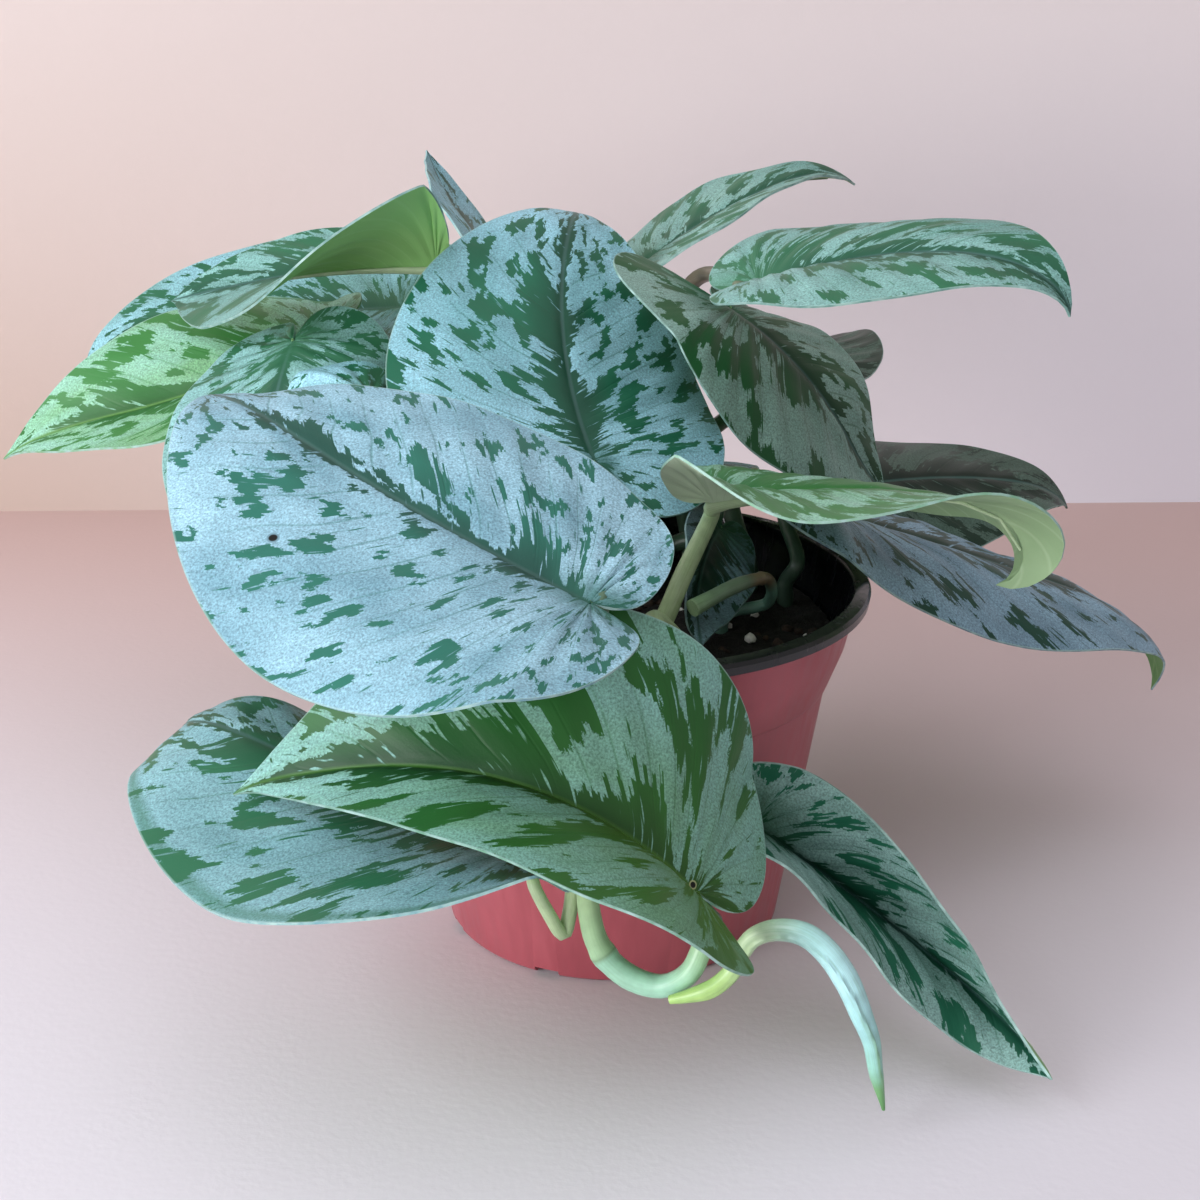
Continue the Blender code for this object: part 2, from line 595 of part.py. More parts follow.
def petiole_route(leaf, frames):
    """The petiole's route from its root to the blade and on along the midrib."""
    point, along, _, up = frames[0]
    seat = point - up * SEAT_DEPTH - along * SEAT_BACK
    approach = point - along * leaf.reach[0] - up * leaf.reach[1]
    start = Vector(leaf.root)
    stops = [start]
    if len(leaf.root) == 2:
        start = Vector((*leaf.root, SOIL_LEVEL + UPRIGHT_FROM))
        stops = [start, start + Vector((0.0, 0.0, UPRIGHT_RUN))]
    stops += [Vector(p) for p in leaf.via] + [approach, seat]
    route = smooth_route(stops, PETIOLE_STEPS)
    if len(leaf.root) == 2:
        route.insert(0, Vector((*leaf.root, SOIL_LEVEL - ROOT_DEPTH)))
    rib = []
    for share, _ in RIB_STOPS:
        place, _, _, lift = frame_at(frames, share)
        rib.append(place - lift * (RIB_DEPTH - share))
    return route, rib


def make_leaf(name, leaf, parts, materials):
    """One leaf: blade, petiole and raised midrib in one solid."""
    frames = spine_frames(leaf)
    blade = make_blade(name, leaf, frames, parts, materials["leaf"])
    route, rib = petiole_route(leaf, frames)
    last = len(route) - 1
    radii = [(PETIOLE_ROOT_RADIUS + (PETIOLE_TIP_RADIUS - PETIOLE_ROOT_RADIUS) * k / last)
             * leaf.girth for k in range(last + 1)]
    radii += [RIB_END_RADIUS * size for _, size in RIB_STOPS]
    stalk = tube(name + "_stalk", route + rib, radii, parts, materials["leaf"])
    result = boolean(blade, stalk, "UNION")
    shade(result, 50.0)
    return result


def make_stem(name, stem, parts, materials):
    """A bare stem, vine or rolled leaf along its route."""
    stops, radii = stem
    points = [Vector(p) for p in stops]
    rooted = points[0].z < SOIL_LEVEL - 1.0
    steps = 2 * (len(points) - 1)
    route = smooth_route(points[1:] if rooted else points, steps)
    if rooted:
        route.insert(0, points[0])
    count = len(route) - 1
    spread = []
    for k in range(count + 1):
        place = k / count * (len(radii) - 1)
        low = min(int(place), len(radii) - 2)
        spread.append(radii[low] + (radii[low + 1] - radii[low]) * (place - low))
    result = tube(name, route, spread, parts, materials["stem"], 2)
    shade(result, 60.0)
    return result


def main():
    """Build the pot, the soil, the leaves and the stems."""
    clear_scene()
    parts = new_collection("satin_pothos")
    cutters = new_collection("cutters")
    materials = {
        "leaf": make_material("leaf_silver_green", LEAF_GREEN, 0.40),
        "stem": make_material("stem_pale_green", STEM_GREEN, 0.45),
    }
    make_pot(parts, cutters)
    roots = [(leaf.root, PETIOLE_ROOT_RADIUS) for leaf in LEAVES.values() if len(leaf.root) == 2]
    roots += [(stops[0][:2], radii[0]) for stops, radii in STEMS.values()
              if stops[0][2] < SOIL_LEVEL - 1.0]
    make_soil(roots, parts, cutters)
    for name, leaf in LEAVES.items():
        make_leaf(name, leaf, parts, materials)
    for name, stem in STEMS.items():
        make_stem(name, stem, parts, materials)


main()
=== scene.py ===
"""A satin pothos in a two-tone nursery pot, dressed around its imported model.

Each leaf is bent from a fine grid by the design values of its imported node, gets its
thickness, and is joined to its petiole. The pot is drawn up ring by ring, the soil is a
lumpy mound with perlite, and the stems are routed tubes. Sizes are in millimetres, and
MM turns them to the metres of the frame.
"""

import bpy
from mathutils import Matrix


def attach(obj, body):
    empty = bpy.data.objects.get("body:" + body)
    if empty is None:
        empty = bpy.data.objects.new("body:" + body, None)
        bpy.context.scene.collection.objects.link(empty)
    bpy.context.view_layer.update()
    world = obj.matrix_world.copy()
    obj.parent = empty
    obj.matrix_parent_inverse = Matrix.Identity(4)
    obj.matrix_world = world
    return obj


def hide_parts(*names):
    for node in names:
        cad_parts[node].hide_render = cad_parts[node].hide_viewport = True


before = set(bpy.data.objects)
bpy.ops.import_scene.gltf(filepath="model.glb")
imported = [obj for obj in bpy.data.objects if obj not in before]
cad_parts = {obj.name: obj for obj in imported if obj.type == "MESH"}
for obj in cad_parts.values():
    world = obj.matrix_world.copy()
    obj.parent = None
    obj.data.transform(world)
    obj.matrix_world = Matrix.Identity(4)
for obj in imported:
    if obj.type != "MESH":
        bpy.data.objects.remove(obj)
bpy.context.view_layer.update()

import logging
import math
import random
from dataclasses import dataclass, field
from enum import Enum
from typing import Callable

import bpy
import numpy as np
from mathutils import Vector, noise
from mathutils.geometry import interpolate_bezier

LOG = logging.getLogger("satin_pothos")
MM = 0.001
TURN = 2.0 * math.pi
SOIL_LEVEL = 79.0
ROOT_DEPTH = 12.0
SPINE_STEPS = 32
PETIOLE_ROOT_RADIUS = 2.7
PETIOLE_TIP_RADIUS = 2.1
BLADE_THICKNESS = 0.62
FLAT_SPAN = 200.0              # width of the plan that a leaf's flat UV map covers
ROUTE_SAMPLES = 16             # points between two stops while a route is evened out
ARC_STEPS = 40                 # points on each arc of the heart
OUTLINE_ASPECT = 0.38          # half width against length, to space the side veins evenly
NOTCH = 0.17                   # how far the lobes reach behind the petiole, in leaf lengths
VEIN_CROWDING = 3.0            # how much closer the side veins start near the petiole
VEIN_BOW = (0.36, 0.56)        # where a side vein bends, along and out, as shares of its reach
CURL_START = 0.55              # shares of the midrib where the tip's curl and hook begin
HOOK_START = 0.84
RIB_TIP_RADIUS = 0.35          # the rib under a blade, which grows towards the petiole
RIB_GROWTH = 1.35
RIB_TAPER = 2.2
COLOURS = dict(output=2, data_type="RGBA")     # of a Mix node, whose colours are inputs 6 and 7
Feed = bpy.types.NodeSocket | str | float | tuple


class Slot(Enum):
    """Material slots of the record."""

    POT = "pot"
    SOIL = "soil"
    LEAF = "leaf"
    STEM = "stem"


class Side(Enum):
    """Halves of a blade, with the sign of the way out from the midrib."""

    LEFT = 1
    RIGHT = -1


def hex_colour(code: str) -> tuple[float, float, float, float]:
    """Turn an sRGB hex colour to linear RGBA.

    Args:
        code: Colour as "#RRGGBB".

    Returns:
        Linear red, green, blue and an alpha of one.
    """
    parts = [int(code[k:k + 2], 16) / 255.0 for k in (1, 3, 5)]
    linear = [c / 12.92 if c <= 0.04045 else ((c + 0.055) / 1.055) ** 2.4 for c in parts]
    return (*linear, 1.0)


@dataclass
class Weave:
    """A material's node tree while it is drawn."""

    name: str
    material: bpy.types.Material = field(init=False)

    def __post_init__(self) -> None:
        """Start the material with its shader."""
        self.material = bpy.data.materials.new(self.name)
        self.material.use_nodes = True

    @property
    def shader(self) -> bpy.types.Node:
        """The Principled BSDF."""
        return self.material.node_tree.nodes["Principled BSDF"]

    def add(self, kind: str, *inputs: Feed | dict, output: int | str = 0,
            **named) -> bpy.types.NodeSocket:
        """Add a node with its settings and links.

        Args:
            kind: Type of the node after "ShaderNode", and its operation after a dot.
            *inputs: Value of each input in order, or a dict by number.
            output: Output to return.
            **named: Inputs, whose names start with a capital, properties, and the stops
                of a colour ramp, a hex colour or grey value for each place.

        Returns:
            The chosen output socket.
        """
        kind, _, operation = kind.partition(".")
        node = self.material.node_tree.nodes.new("ShaderNode" + kind)
        if operation:
            node.operation = operation
        by_number = bool(inputs) and isinstance(inputs[0], dict)
        feeds = dict(inputs[0]) if by_number else dict(enumerate(inputs))
        for key, value in named.items():
            if key[0].isupper():
                feeds[key] = value
            elif key == "stops":
                self.set_stops(node.color_ramp, value)
            else:
                setattr(node, key, value)
        for key, value in feeds.items():
            self.feed(node.inputs[key], value)
        return node.outputs[output]

    def feed(self, socket: bpy.types.NodeSocket, value: Feed) -> None:
        """Link a socket, or set its value.

        Args:
            socket: Input to feed.
            value: Output socket, hex colour, number or tuple.
        """
        if isinstance(value, bpy.types.NodeSocket):
            self.material.node_tree.links.new(value, socket)
        elif isinstance(value, str):
            socket.default_value = hex_colour(value)
        else:
            socket.default_value = value

    def set_stops(self, band: bpy.types.ColorRamp, stops: dict[float, str | float]) -> None:
        """Put the stops on a colour ramp.

        Args:
            band: The ramp.
            stops: Hex colour or grey value at each place.
        """
        places = sorted(stops)
        while len(band.elements) < len(places):
            band.elements.new(0.5)
        for element, place in zip(band.elements, places):
            element.position = place
            stop = stops[place]
            element.color = hex_colour(stop) if isinstance(stop, str) else (stop, stop, stop, 1.0)

    def finish(self, values: dict) -> bpy.types.Material:
        """Feed the shader and return the material.

        Args:
            values: Value or socket for each shader input.

        Returns:
            The finished material.
        """
        for key, value in values.items():
            self.feed(self.shader.inputs[key], value)
        return self.material


@dataclass(frozen=True)
class LeafCuticle:
    """Upper side of a satin pothos leaf: a smooth waxy cuticle over air-filled silver cells.

    The air under the cuticle scatters light as a fine silver grain, and the flecks without
    it show the green tissue. Fleck edges end at the fine side veins, so they are jagged.
    """

    name: str
    silver: str = "#A9CCD6"
    silver_shade: str = "#7FA8B0"
    green: str = "#2E7058"
    green_deep: str = "#22493C"
    midrib: str = "#3C5F58"
    edge: str = "#9DBDB6"
    blush: str = "#3C6E50"     # tint where the blade meets its petiole
    cover: float = 0.40        # threshold of the fleck noise, higher is greener
    fleck: float = 6.0         # size of a fleck across the side veins
    stretch: float = 1.6       # length of a fleck along the veins against its width
    jag: float = 1.3           # how far neighbouring vein strips push a fleck's edge
    strip: float = 1.1         # width of a vein strip
    flame_left: float = 5.0    # half width of the green zone beside the midrib
    flame_right: float = 5.0
    flame_end: float = 0.85    # share of the length where the green zone ends
    margin_green: float = 0.0  # strength of the green band along the margin
    seed: float = 0.0
    outline: float = 150.0     # length of half the margin
    width: float = 45.0        # half width of the blade
    length: float = 110.0
    grain: float = 0.5         # the air cells are a third of this, drawn coarser to show
    sway: float = 6.0          # how far the vein strips wander, and over what length
    sway_length: float = 28.0
    zone_length: float = 17.0  # length over which the green zone swells and narrows
    drift_length: float = 22.0  # length over which the silver changes
    patch_length: float = 11.0  # length over which the green changes
    vein_gap: float = 7.5      # distance between two side veins
    roughness: float = 0.46
    coat: float = 0.02
    foot: float = 0.16         # share of the length over which the blush fades
    blush_right: float = 1.0   # strength of the blush on the right half
    spots: tuple = ()          # pricks: along the midrib, out to the left, radius, rim; each has a near-black centre, painted shade where it is a hole

    def material(self) -> bpy.types.Material:
        """Draw the cuticle.

        Returns:
            The material.
        """
        w = Weave("leaf_cuticle_" + self.name)
        vein = w.add("UVMap", uv_map="UVMap")
        flat = w.add("UVMap", uv_map="flat")
        split = w.add("SeparateXYZ", vein).node.outputs
        place = w.add("SeparateXYZ", flat).node.outputs
        across = w.add("Math.MULTIPLY", split[0], self.outline)
        signed = w.add("Math.SUBTRACT", split[1], 0.5)
        along = w.add("Math.MULTIPLY", signed, 2.0 * self.width)
        share = w.add("Math.ABSOLUTE", signed)
        out = w.add("Math.MULTIPLY", share, 2.0)
        left = w.add("Math.GREATER_THAN", signed, 0.0)
        grid = w.add("CombineXYZ", across, along, self.seed)

        # Vein strips, each with its own push along the vein
        sway = w.add("TexNoise", Vector=grid, Scale=1 / self.sway_length, Detail=1.0)
        swayed = w.add("Math.MULTIPLY_ADD", sway, self.sway, across)
        pushes, stairs = [], []
        for width, reach in ((self.strip, self.jag), (self.strip * 0.41, self.jag * 0.5)):
            index = w.add("Math.DIVIDE", swayed, width)
            step = w.add("Math.FLOOR", index)
            stairs.append(w.add("Math.MULTIPLY", step, width))
            step = w.add("Math.MULTIPLY_ADD", left, 500.0, step)
            step = w.add("Math.ADD", step, self.seed * 31.7)
            chance = w.add("TexWhiteNoise", W=step, noise_dimensions="1D")
            centred = w.add("Math.SUBTRACT", chance, 0.5)
            pushes.append((w.add("Math.MULTIPLY", centred, 2 * reach), chance))
        push = w.add("Math.ADD", pushes[0][0], pushes[1][0])
        pushed = w.add("Math.ADD", along, push)
        run = w.add("Math.DIVIDE", pushed, self.stretch)
        stair = w.add("Math.ADD", stairs[0], stairs[1])
        stair = w.add("Math.MULTIPLY", stair, 0.5)
        cell = w.add("CombineXYZ", stair, run, self.seed * 13.1)
        blotch = w.add("TexNoise", Vector=cell, Scale=1 / self.fleck, Detail=2.0, Roughness=0.55)
        cells = w.add("TexCoord", output="Object")
        grainy = w.add("TexNoise", Vector=cells, Scale=1 / (self.grain * MM), Detail=2.0,
                       Roughness=0.6)
        ragged = w.add("Math.MULTIPLY_ADD", grainy, 0.05, blotch)
        ragged = w.add("Math.SUBTRACT", ragged, 0.025)
        fleck = w.add("MapRange", ragged, self.cover - 0.008, self.cover + 0.008, 1.0, 0.0,
                      interpolation_type="SMOOTHSTEP")

        # Feathered green zone along the midrib
        off = w.add("Math.SUBTRACT", place[1], 0.5)
        off = w.add("Math.MULTIPLY", off, FLAT_SPAN)
        off = w.add("Math.ABSOLUTE", off)
        reach = w.add("MapRange", left, 0.0, 1.0, self.flame_right, self.flame_left)
        window = w.add("ValToRGB", place[0], stops={
            0.0: 0.35, 0.18: 0.85, self.flame_end * 0.55: 1.0, self.flame_end: 0.12, 1.0: 0.0})
        window.node.color_ramp.interpolation = "EASE"
        feather = w.add("Math.MULTIPLY_ADD", pushes[0][1], 0.7, 0.45)
        feather = w.add("Math.MULTIPLY_ADD", pushes[1][1], 0.3, feather)
        slow = w.add("TexNoise", Vector=cell, Scale=1 / self.zone_length, Detail=0.0)
        slow = w.add("MapRange", slow, 0.38, 0.62, 0.25, 1.9)
        limit = reach
        for factor in (window, feather, slow):
            limit = w.add("Math.MULTIPLY", limit, factor)
        inside = w.add("Math.SUBTRACT", limit, off)
        flame = w.add("MapRange", inside, -0.15, 0.25, interpolation_type="SMOOTHSTEP")
        green = w.add("Math.MAXIMUM", fleck, flame)

        # Thin streaks along the veins, silver in the green and green in the silver
        thin = w.add("CombineXYZ", w.add("Math.MULTIPLY", swayed, 1.1),
                     w.add("Math.MULTIPLY", pushed, 0.12), self.seed + 4.0)
        streak = w.add("TexNoise", Vector=thin, Scale=0.8, Detail=1.0)
        silver_streak = w.add("MapRange", streak, 0.66, 0.72)
        green_streak = w.add("MapRange", streak, 0.31, 0.25)
        kept = w.add("Math.SUBTRACT", 1.0, silver_streak)
        green = w.add("Math.MULTIPLY", green, kept)
        green = w.add("Math.MAXIMUM", green, green_streak)
        band = w.add("ValToRGB", out, stops={
            0.90: 0.0, 0.955: self.margin_green, 0.985: self.margin_green * 0.8, 1.0: 0.0})
        green = w.add("Math.MAXIMUM", green, band)

        # Silver: bright grain over a slow drift, and faint darker side veins
        drift = w.add("TexNoise", Vector=grid, Scale=1 / self.drift_length, Detail=2.0)
        shade = w.add("MapRange", drift, 0.30, 0.70, 0.0, 1.0)
        tint = w.add("Mix", {0: shade, 6: self.silver_shade, 7: self.silver}, **COLOURS)
        lift = w.add("MapRange", grainy, 0.30, 0.72, 0.62, 1.42)
        silver = w.add("VectorMath.SCALE", {0: tint, 3: lift})
        order = w.add("Math.DIVIDE", swayed, self.vein_gap)
        phase = w.add("Math.FRACT", order)
        near = w.add("Math.SUBTRACT", phase, 0.5)
        near = w.add("Math.ABSOLUTE", near)
        line = w.add("MapRange", near, 0.0, 0.055, 0.55, 0.0)
        fade = w.add("ValToRGB", out, stops={0.0: 0.0, 0.25: 1.0, 0.7: 0.5, 0.95: 0.0})
        line = w.add("Math.MULTIPLY", line, fade)
        silver = w.add("Mix", {0: line, 6: silver, 7: self.green}, **COLOURS)

        # Green: deeper beside the midrib, patchy beyond
        deep = w.add("MapRange", off, 0.5, 11.0, 1.0, 0.0)
        patch = w.add("TexNoise", Vector=grid, Scale=1 / self.patch_length, Detail=1.0)
        deep = w.add("Math.MULTIPLY_ADD", patch, 0.5, deep)
        deep = w.add("Math.SUBTRACT", deep, 0.2, use_clamp=True)
        leafy = w.add("Mix", {0: deep, 6: self.green, 7: self.green_deep}, **COLOURS)
        colour = w.add("Mix", {0: green, 6: silver, 7: leafy}, **COLOURS)
        rib = w.add("MapRange", off, 0.25, 0.8, 0.8, 0.0)
        colour = w.add("Mix", {0: rib, 6: colour, 7: self.midrib}, **COLOURS)
        foot = w.add("MapRange", place[0], 0.0, self.foot, 0.75, 0.0)
        foot_out = w.add("MapRange", off, 3.0, self.foot * 90.0, 1.0, 0.0)
        foot = w.add("Math.MULTIPLY", foot, foot_out)
        halves = w.add("MapRange", {0: left, 3: self.blush_right, 4: 1.0})
        foot = w.add("Math.MULTIPLY", foot, halves)
        colour = w.add("Mix", {0: foot, 6: colour, 7: self.blush}, **COLOURS)
        rim = w.add("MapRange", out, 0.990, 0.998, 0.0, 0.6)
        colour = w.add("Mix", {0: rim, 6: colour, 7: self.edge}, **COLOURS)
        plan = w.add("VectorMath.MULTIPLY", flat, (self.length, FLAT_SPAN, 0.0))
        for x, y, radius, scar in self.spots:
            gap = w.add("VectorMath.DISTANCE", plan, (x, FLAT_SPAN / 2 + y, 0.0), output=1)
            # Near-black centre inside the rim: a speck's own dark, and on a hole painted shade for
            # the dark behind it.
            speck_and_hole_shade = w.add("ValToRGB", w.add("MapRange", gap, 0.0, radius * 1.4),
                         stops={0.0: "#0B0C0A", 0.55: "#14160F", 0.72: scar, 1.0: scar})
            mask = w.add("MapRange", gap, radius * 1.4, radius * 1.2)
            colour = w.add("Mix", {0: mask, 6: colour, 7: speck_and_hole_shade}, **COLOURS)

        rough = w.add("MapRange", green, 0.0, 1.0, self.roughness + 0.06, self.roughness - 0.06)
        wrinkle = w.add("TexNoise", Vector=thin, Scale=0.45, Detail=2.0)
        height = w.add("Math.MULTIPLY_ADD", grainy, 0.25, wrinkle)
        height = w.add("Math.MULTIPLY_ADD", line, -1.2, height)
        bump = w.add("Bump", Height=height, Strength=0.35, Distance=0.00028)
        return w.finish({"Base Color": colour, "Roughness": rough, "Normal": bump,
                         "Specular IOR Level": 0.22, "Coat Weight": self.coat,
                         "Coat Roughness": 0.30})


@dataclass(frozen=True)
class LeafUnderside:
    """Underside of a leaf: matt green tissue with pale veins and no silver."""

    name: str
    colour: str = "#86B37A"
    shade: str = "#5F9156"
    vein: str = "#A9C99A"
    foot: str = "#86B37A"      # tissue round the petiole; on one leaf a near-white painted highlight
    veins: float = 21.0        # side veins of a half

    def material(self) -> bpy.types.Material:
        """Draw the underside.

        Returns:
            The material.
        """
        w = Weave("leaf_underside_" + self.name)
        vein = w.add("UVMap", uv_map="UVMap")
        split = w.add("SeparateXYZ", vein).node.outputs
        across = w.add("Math.MULTIPLY", split[0], self.veins)
        phase = w.add("Math.FRACT", across)
        near = w.add("Math.SUBTRACT", phase, 0.5)
        near = w.add("Math.ABSOLUTE", near)
        line = w.add("MapRange", near, 0.0, 0.10, 0.30, 0.0)
        place = w.add("TexCoord", output="Object")
        mottle = w.add("TexNoise", Vector=place, Scale=70.0, Detail=3.0)
        tissue = w.add("Mix", {0: mottle, 6: self.shade, 7: self.colour}, **COLOURS)
        plan = w.add("SeparateXYZ", w.add("UVMap", uv_map="flat")).node.outputs
        close = w.add("MapRange", plan[0], 0.04, 0.24, 1.0, 0.0)
        tissue = w.add("Mix", {0: close, 6: tissue, 7: self.foot}, **COLOURS)
        colour = w.add("Mix", {0: line, 6: tissue, 7: self.vein}, **COLOURS)
        fine = w.add("TexNoise", Vector=place, Scale=2500.0, Detail=2.0)
        height = w.add("Math.MULTIPLY_ADD", line, 1.5, fine)
        bump = w.add("Bump", Height=height, Strength=0.25, Distance=0.0002)
        return w.finish({"Base Color": colour, "Roughness": 0.52, "Normal": bump,
                         "Specular IOR Level": 0.30})


@dataclass(frozen=True)
class StemSkin:
    """Skin of a petiole or stem: smooth waxy epidermis with fine lengthwise fibres."""

    name: str
    course: tuple = ((0.0, "#A3B98A"), (0.6, "#B4CAA0"), (1.0, "#BBD2AC"))
    fibre: str = "#7E9C66"
    roughness: float = 0.38
    fibres: float = 46.0       # fibres round the stem
    seam: float = 0.0          # strength of the green line where a rolled leaf overlaps
    seam_from: float = 0.0     # where it starts round the stem, in turns
    seam_turn: float = 0.0     # turns that it makes along the stem

    def material(self) -> bpy.types.Material:
        """Draw the skin.

        Returns:
            The material.
        """
        w = Weave("stem_skin_" + self.name)
        split = w.add("SeparateXYZ", w.add("UVMap", uv_map="UVMap")).node.outputs
        place = w.add("TexCoord", output="Object")
        around = w.add("Math.MULTIPLY", split[1], self.fibres)
        along = w.add("Math.MULTIPLY", split[0], 9.0)
        fibre = w.add("CombineXYZ", along, around, 0.0)
        lines = w.add("TexNoise", Vector=fibre, Scale=1.0, Detail=2.0)
        body = w.add("ValToRGB", split[0], stops=dict(self.course))
        mottle = w.add("TexNoise", Vector=place, Scale=260.0, Detail=3.0)
        lift = w.add("MapRange", mottle, 0.35, 0.65, 0.90, 1.08)
        body = w.add("VectorMath.SCALE", {0: body, 3: lift})
        streak = w.add("MapRange", lines, 0.45, 0.72, 0.0, 0.35)
        body = w.add("Mix", {0: streak, 6: body, 7: self.fibre}, **COLOURS)
        turn = w.add("Math.MULTIPLY_ADD", split[0], self.seam_turn, self.seam_from)
        gap = w.add("Math.SUBTRACT", split[1], turn)
        gap = w.add("Math.FRACT", gap)
        line = w.add("ValToRGB", gap, stops={
            0.0: self.seam, 0.03: self.seam, 0.07: 0.0, 0.97: 0.0, 1.0: self.seam})
        late = w.add("MapRange", split[0], 0.64, 0.84)
        line = w.add("Math.MULTIPLY", line, late)
        colour = w.add("Mix", {0: line, 6: body, 7: self.fibre}, **COLOURS)
        bump = w.add("Bump", Height=lines, Strength=0.20, Distance=0.0003)
        return w.finish({"Base Color": colour, "Roughness": self.roughness, "Normal": bump,
                         "IOR": 1.45, "Coat Weight": 0.15, "Coat Roughness": 0.25})


@dataclass(frozen=True)
class MouldedPolypropylene:
    """Thin injection-moulded polypropylene: satin, with faint flow marks and scuffs."""

    name: str
    colour: str
    shade: str
    roughness: float = 0.40

    def material(self) -> bpy.types.Material:
        """Draw the plastic.

        Returns:
            The material.
        """
        w = Weave("moulded_polypropylene_" + self.name)
        place = w.add("TexCoord", output="Object")
        slow = w.add("TexNoise", Vector=place, Scale=28.0, Detail=3.0)
        flow = w.add("Mapping", Vector=place, Scale=(1.0, 1.0, 0.12))
        marks = w.add("TexNoise", Vector=flow, Scale=420.0, Detail=3.0)
        blend = w.add("Math.MULTIPLY_ADD", marks, 0.5, slow)
        blend = w.add("MapRange", blend, 0.50, 1.0)
        colour = w.add("Mix", {0: blend, 6: self.shade, 7: self.colour}, **COLOURS)
        scuff = w.add("MapRange", marks, 0.35, 0.70, self.roughness - 0.06, self.roughness + 0.10)
        fine = w.add("TexNoise", Vector=place, Scale=1800.0, Detail=2.0)
        bump = w.add("Bump", Height=fine, Strength=0.12, Distance=0.0001)
        return w.finish({"Base Color": colour, "Roughness": scuff, "Normal": bump, "IOR": 1.49})


@dataclass(frozen=True)
class PottingMix:
    """Moist peat: almost black, matt, crumbly."""

    name: str = "potting_mix_peat"

    def material(self) -> bpy.types.Material:
        """Draw the peat.

        Returns:
            The material.
        """
        w = Weave(self.name)
        place = w.add("TexCoord", output="Object")
        crumb = w.add("TexNoise", Vector=place, Scale=520.0, Detail=4.0, Roughness=0.7)
        colour = w.add("ValToRGB", crumb, stops={0.30: "#050505", 0.55: "#12100E", 0.75: "#2A231D"})
        bump = w.add("Bump", Height=crumb, Strength=0.9, Distance=0.0012)
        return w.finish({"Base Color": colour, "Roughness": 0.92, "Normal": bump})


@dataclass(frozen=True)
class PlainMatt:
    """A matt natural surface with a mottled colour, such as perlite, bark or dry scale."""

    name: str
    colour: str
    shade: str
    grain: float = 700.0
    roughness: float = 0.85

    def material(self) -> bpy.types.Material:
        """Draw the surface.

        Returns:
            The material.
        """
        w = Weave(self.name)
        place = w.add("TexCoord", output="Object")
        mottle = w.add("TexNoise", Vector=place, Scale=self.grain, Detail=3.0)
        blend = w.add("MapRange", mottle, 0.35, 0.65)
        colour = w.add("Mix", {0: blend, 6: self.shade, 7: self.colour}, **COLOURS)
        bump = w.add("Bump", Height=mottle, Strength=0.3, Distance=0.0003)
        return w.finish({"Base Color": colour, "Roughness": self.roughness, "Normal": bump})


@dataclass(frozen=True)
class StagePaint:
    """Matt paint of the table and the wall with a faint roller grain, and painted light from left
    to right: on the wall the left is dim and warm and the right bright and cool, which evens out
    the window light's fall-off and paints a warm light on the left.
    """

    name: str
    # Left and right colours with painted light: on the wall dimmer and warmer on the left, brighter
    # and cooler on the right.
    left_with_painted_light: str
    right_with_painted_light: str
    far: str                   # the table's colour by the wall
    one_sided: bool = False    # clear from behind, so that the plant's back can be seen

    def material(self) -> bpy.types.Material:
        """Draw the paint.

        Returns:
            The material.
        """
        w = Weave(self.name)
        place = w.add("TexCoord", output="Object")
        axis = w.add("SeparateXYZ", place).node.outputs
        # Painted light: a ramp from the left colour to the right one across the stage.
        across = w.add("MapRange", axis[0], -0.32, 0.32, interpolation_type="SMOOTHSTEP")
        colour = w.add("Mix", {0: across, 6: self.left_with_painted_light, 7: self.right_with_painted_light}, **COLOURS)
        back = w.add("MapRange", axis[1], -0.12, 0.36, interpolation_type="SMOOTHSTEP")
        colour = w.add("Mix", {0: back, 6: colour, 7: self.far}, **COLOURS)
        roller = w.add("TexNoise", Vector=place, Scale=420.0, Detail=3.0)
        bump = w.add("Bump", Height=roller, Strength=0.12, Distance=0.0006)
        values = {"Base Color": colour, "Roughness": 0.75, "Normal": bump}
        if self.one_sided:
            behind = w.add("NewGeometry", output="Backfacing")
            values["Alpha"] = w.add("Math.SUBTRACT", 1.0, behind)
        return w.finish(values)


def deselect_all() -> None:
    """Leave edit mode and deselect every object."""
    if bpy.context.object is not None and bpy.context.object.mode != "OBJECT":
        bpy.ops.object.mode_set(mode="OBJECT")
    bpy.ops.object.select_all(action="DESELECT")


def choose(piece: bpy.types.Object) -> None:
    """Make one object the only selected one.

    Args:
        piece: Object to select.
    """
    deselect_all()
    piece.select_set(True)
    bpy.context.view_layer.objects.active = piece


def edit_all(piece: bpy.types.Object, operator: Callable, **settings) -> None:
    """Run one edit-mode operator on a whole mesh.

    Args:
        piece: Mesh object.
        operator: Operator from bpy.ops.mesh.
        **settings: Its settings.
    """
    choose(piece)
    bpy.ops.object.mode_set(mode="EDIT")
    bpy.ops.mesh.select_all(action="SELECT")
    operator(**settings)
    bpy.ops.object.mode_set(mode="OBJECT")


def weld(piece: bpy.types.Object, distance: float) -> None:
    """Merge vertices that lie together, within a distance in millimetres."""
    edit_all(piece, bpy.ops.mesh.remove_doubles, threshold=distance * MM)


def face_outwards(piece: bpy.types.Object) -> None:
    """Turn the faces of a closed mesh outwards."""
    edit_all(piece, bpy.ops.mesh.normals_make_consistent, inside=False)


def shaped_grid(name: str, columns: int, rows: int,
                place: Callable[[float, float], Vector]) -> bpy.types.Object:
    """Add a grid and bend it over a surface.

    Args:
        name: Name of the new object.
        columns: Cells across.
        rows: Cells along.
        place: Point in millimetres for each share across and along.

    Returns:
        The new object.
    """
    deselect_all()
    bpy.ops.mesh.primitive_grid_add(x_subdivisions=columns, y_subdivisions=rows, size=1.0)
    piece = bpy.context.object
    piece.name = piece.data.name = name
    for vertex in piece.data.vertices:
        vertex.co = place(vertex.co.x + 0.5, vertex.co.y + 0.5) * MM
    piece.data.update()
    return piece


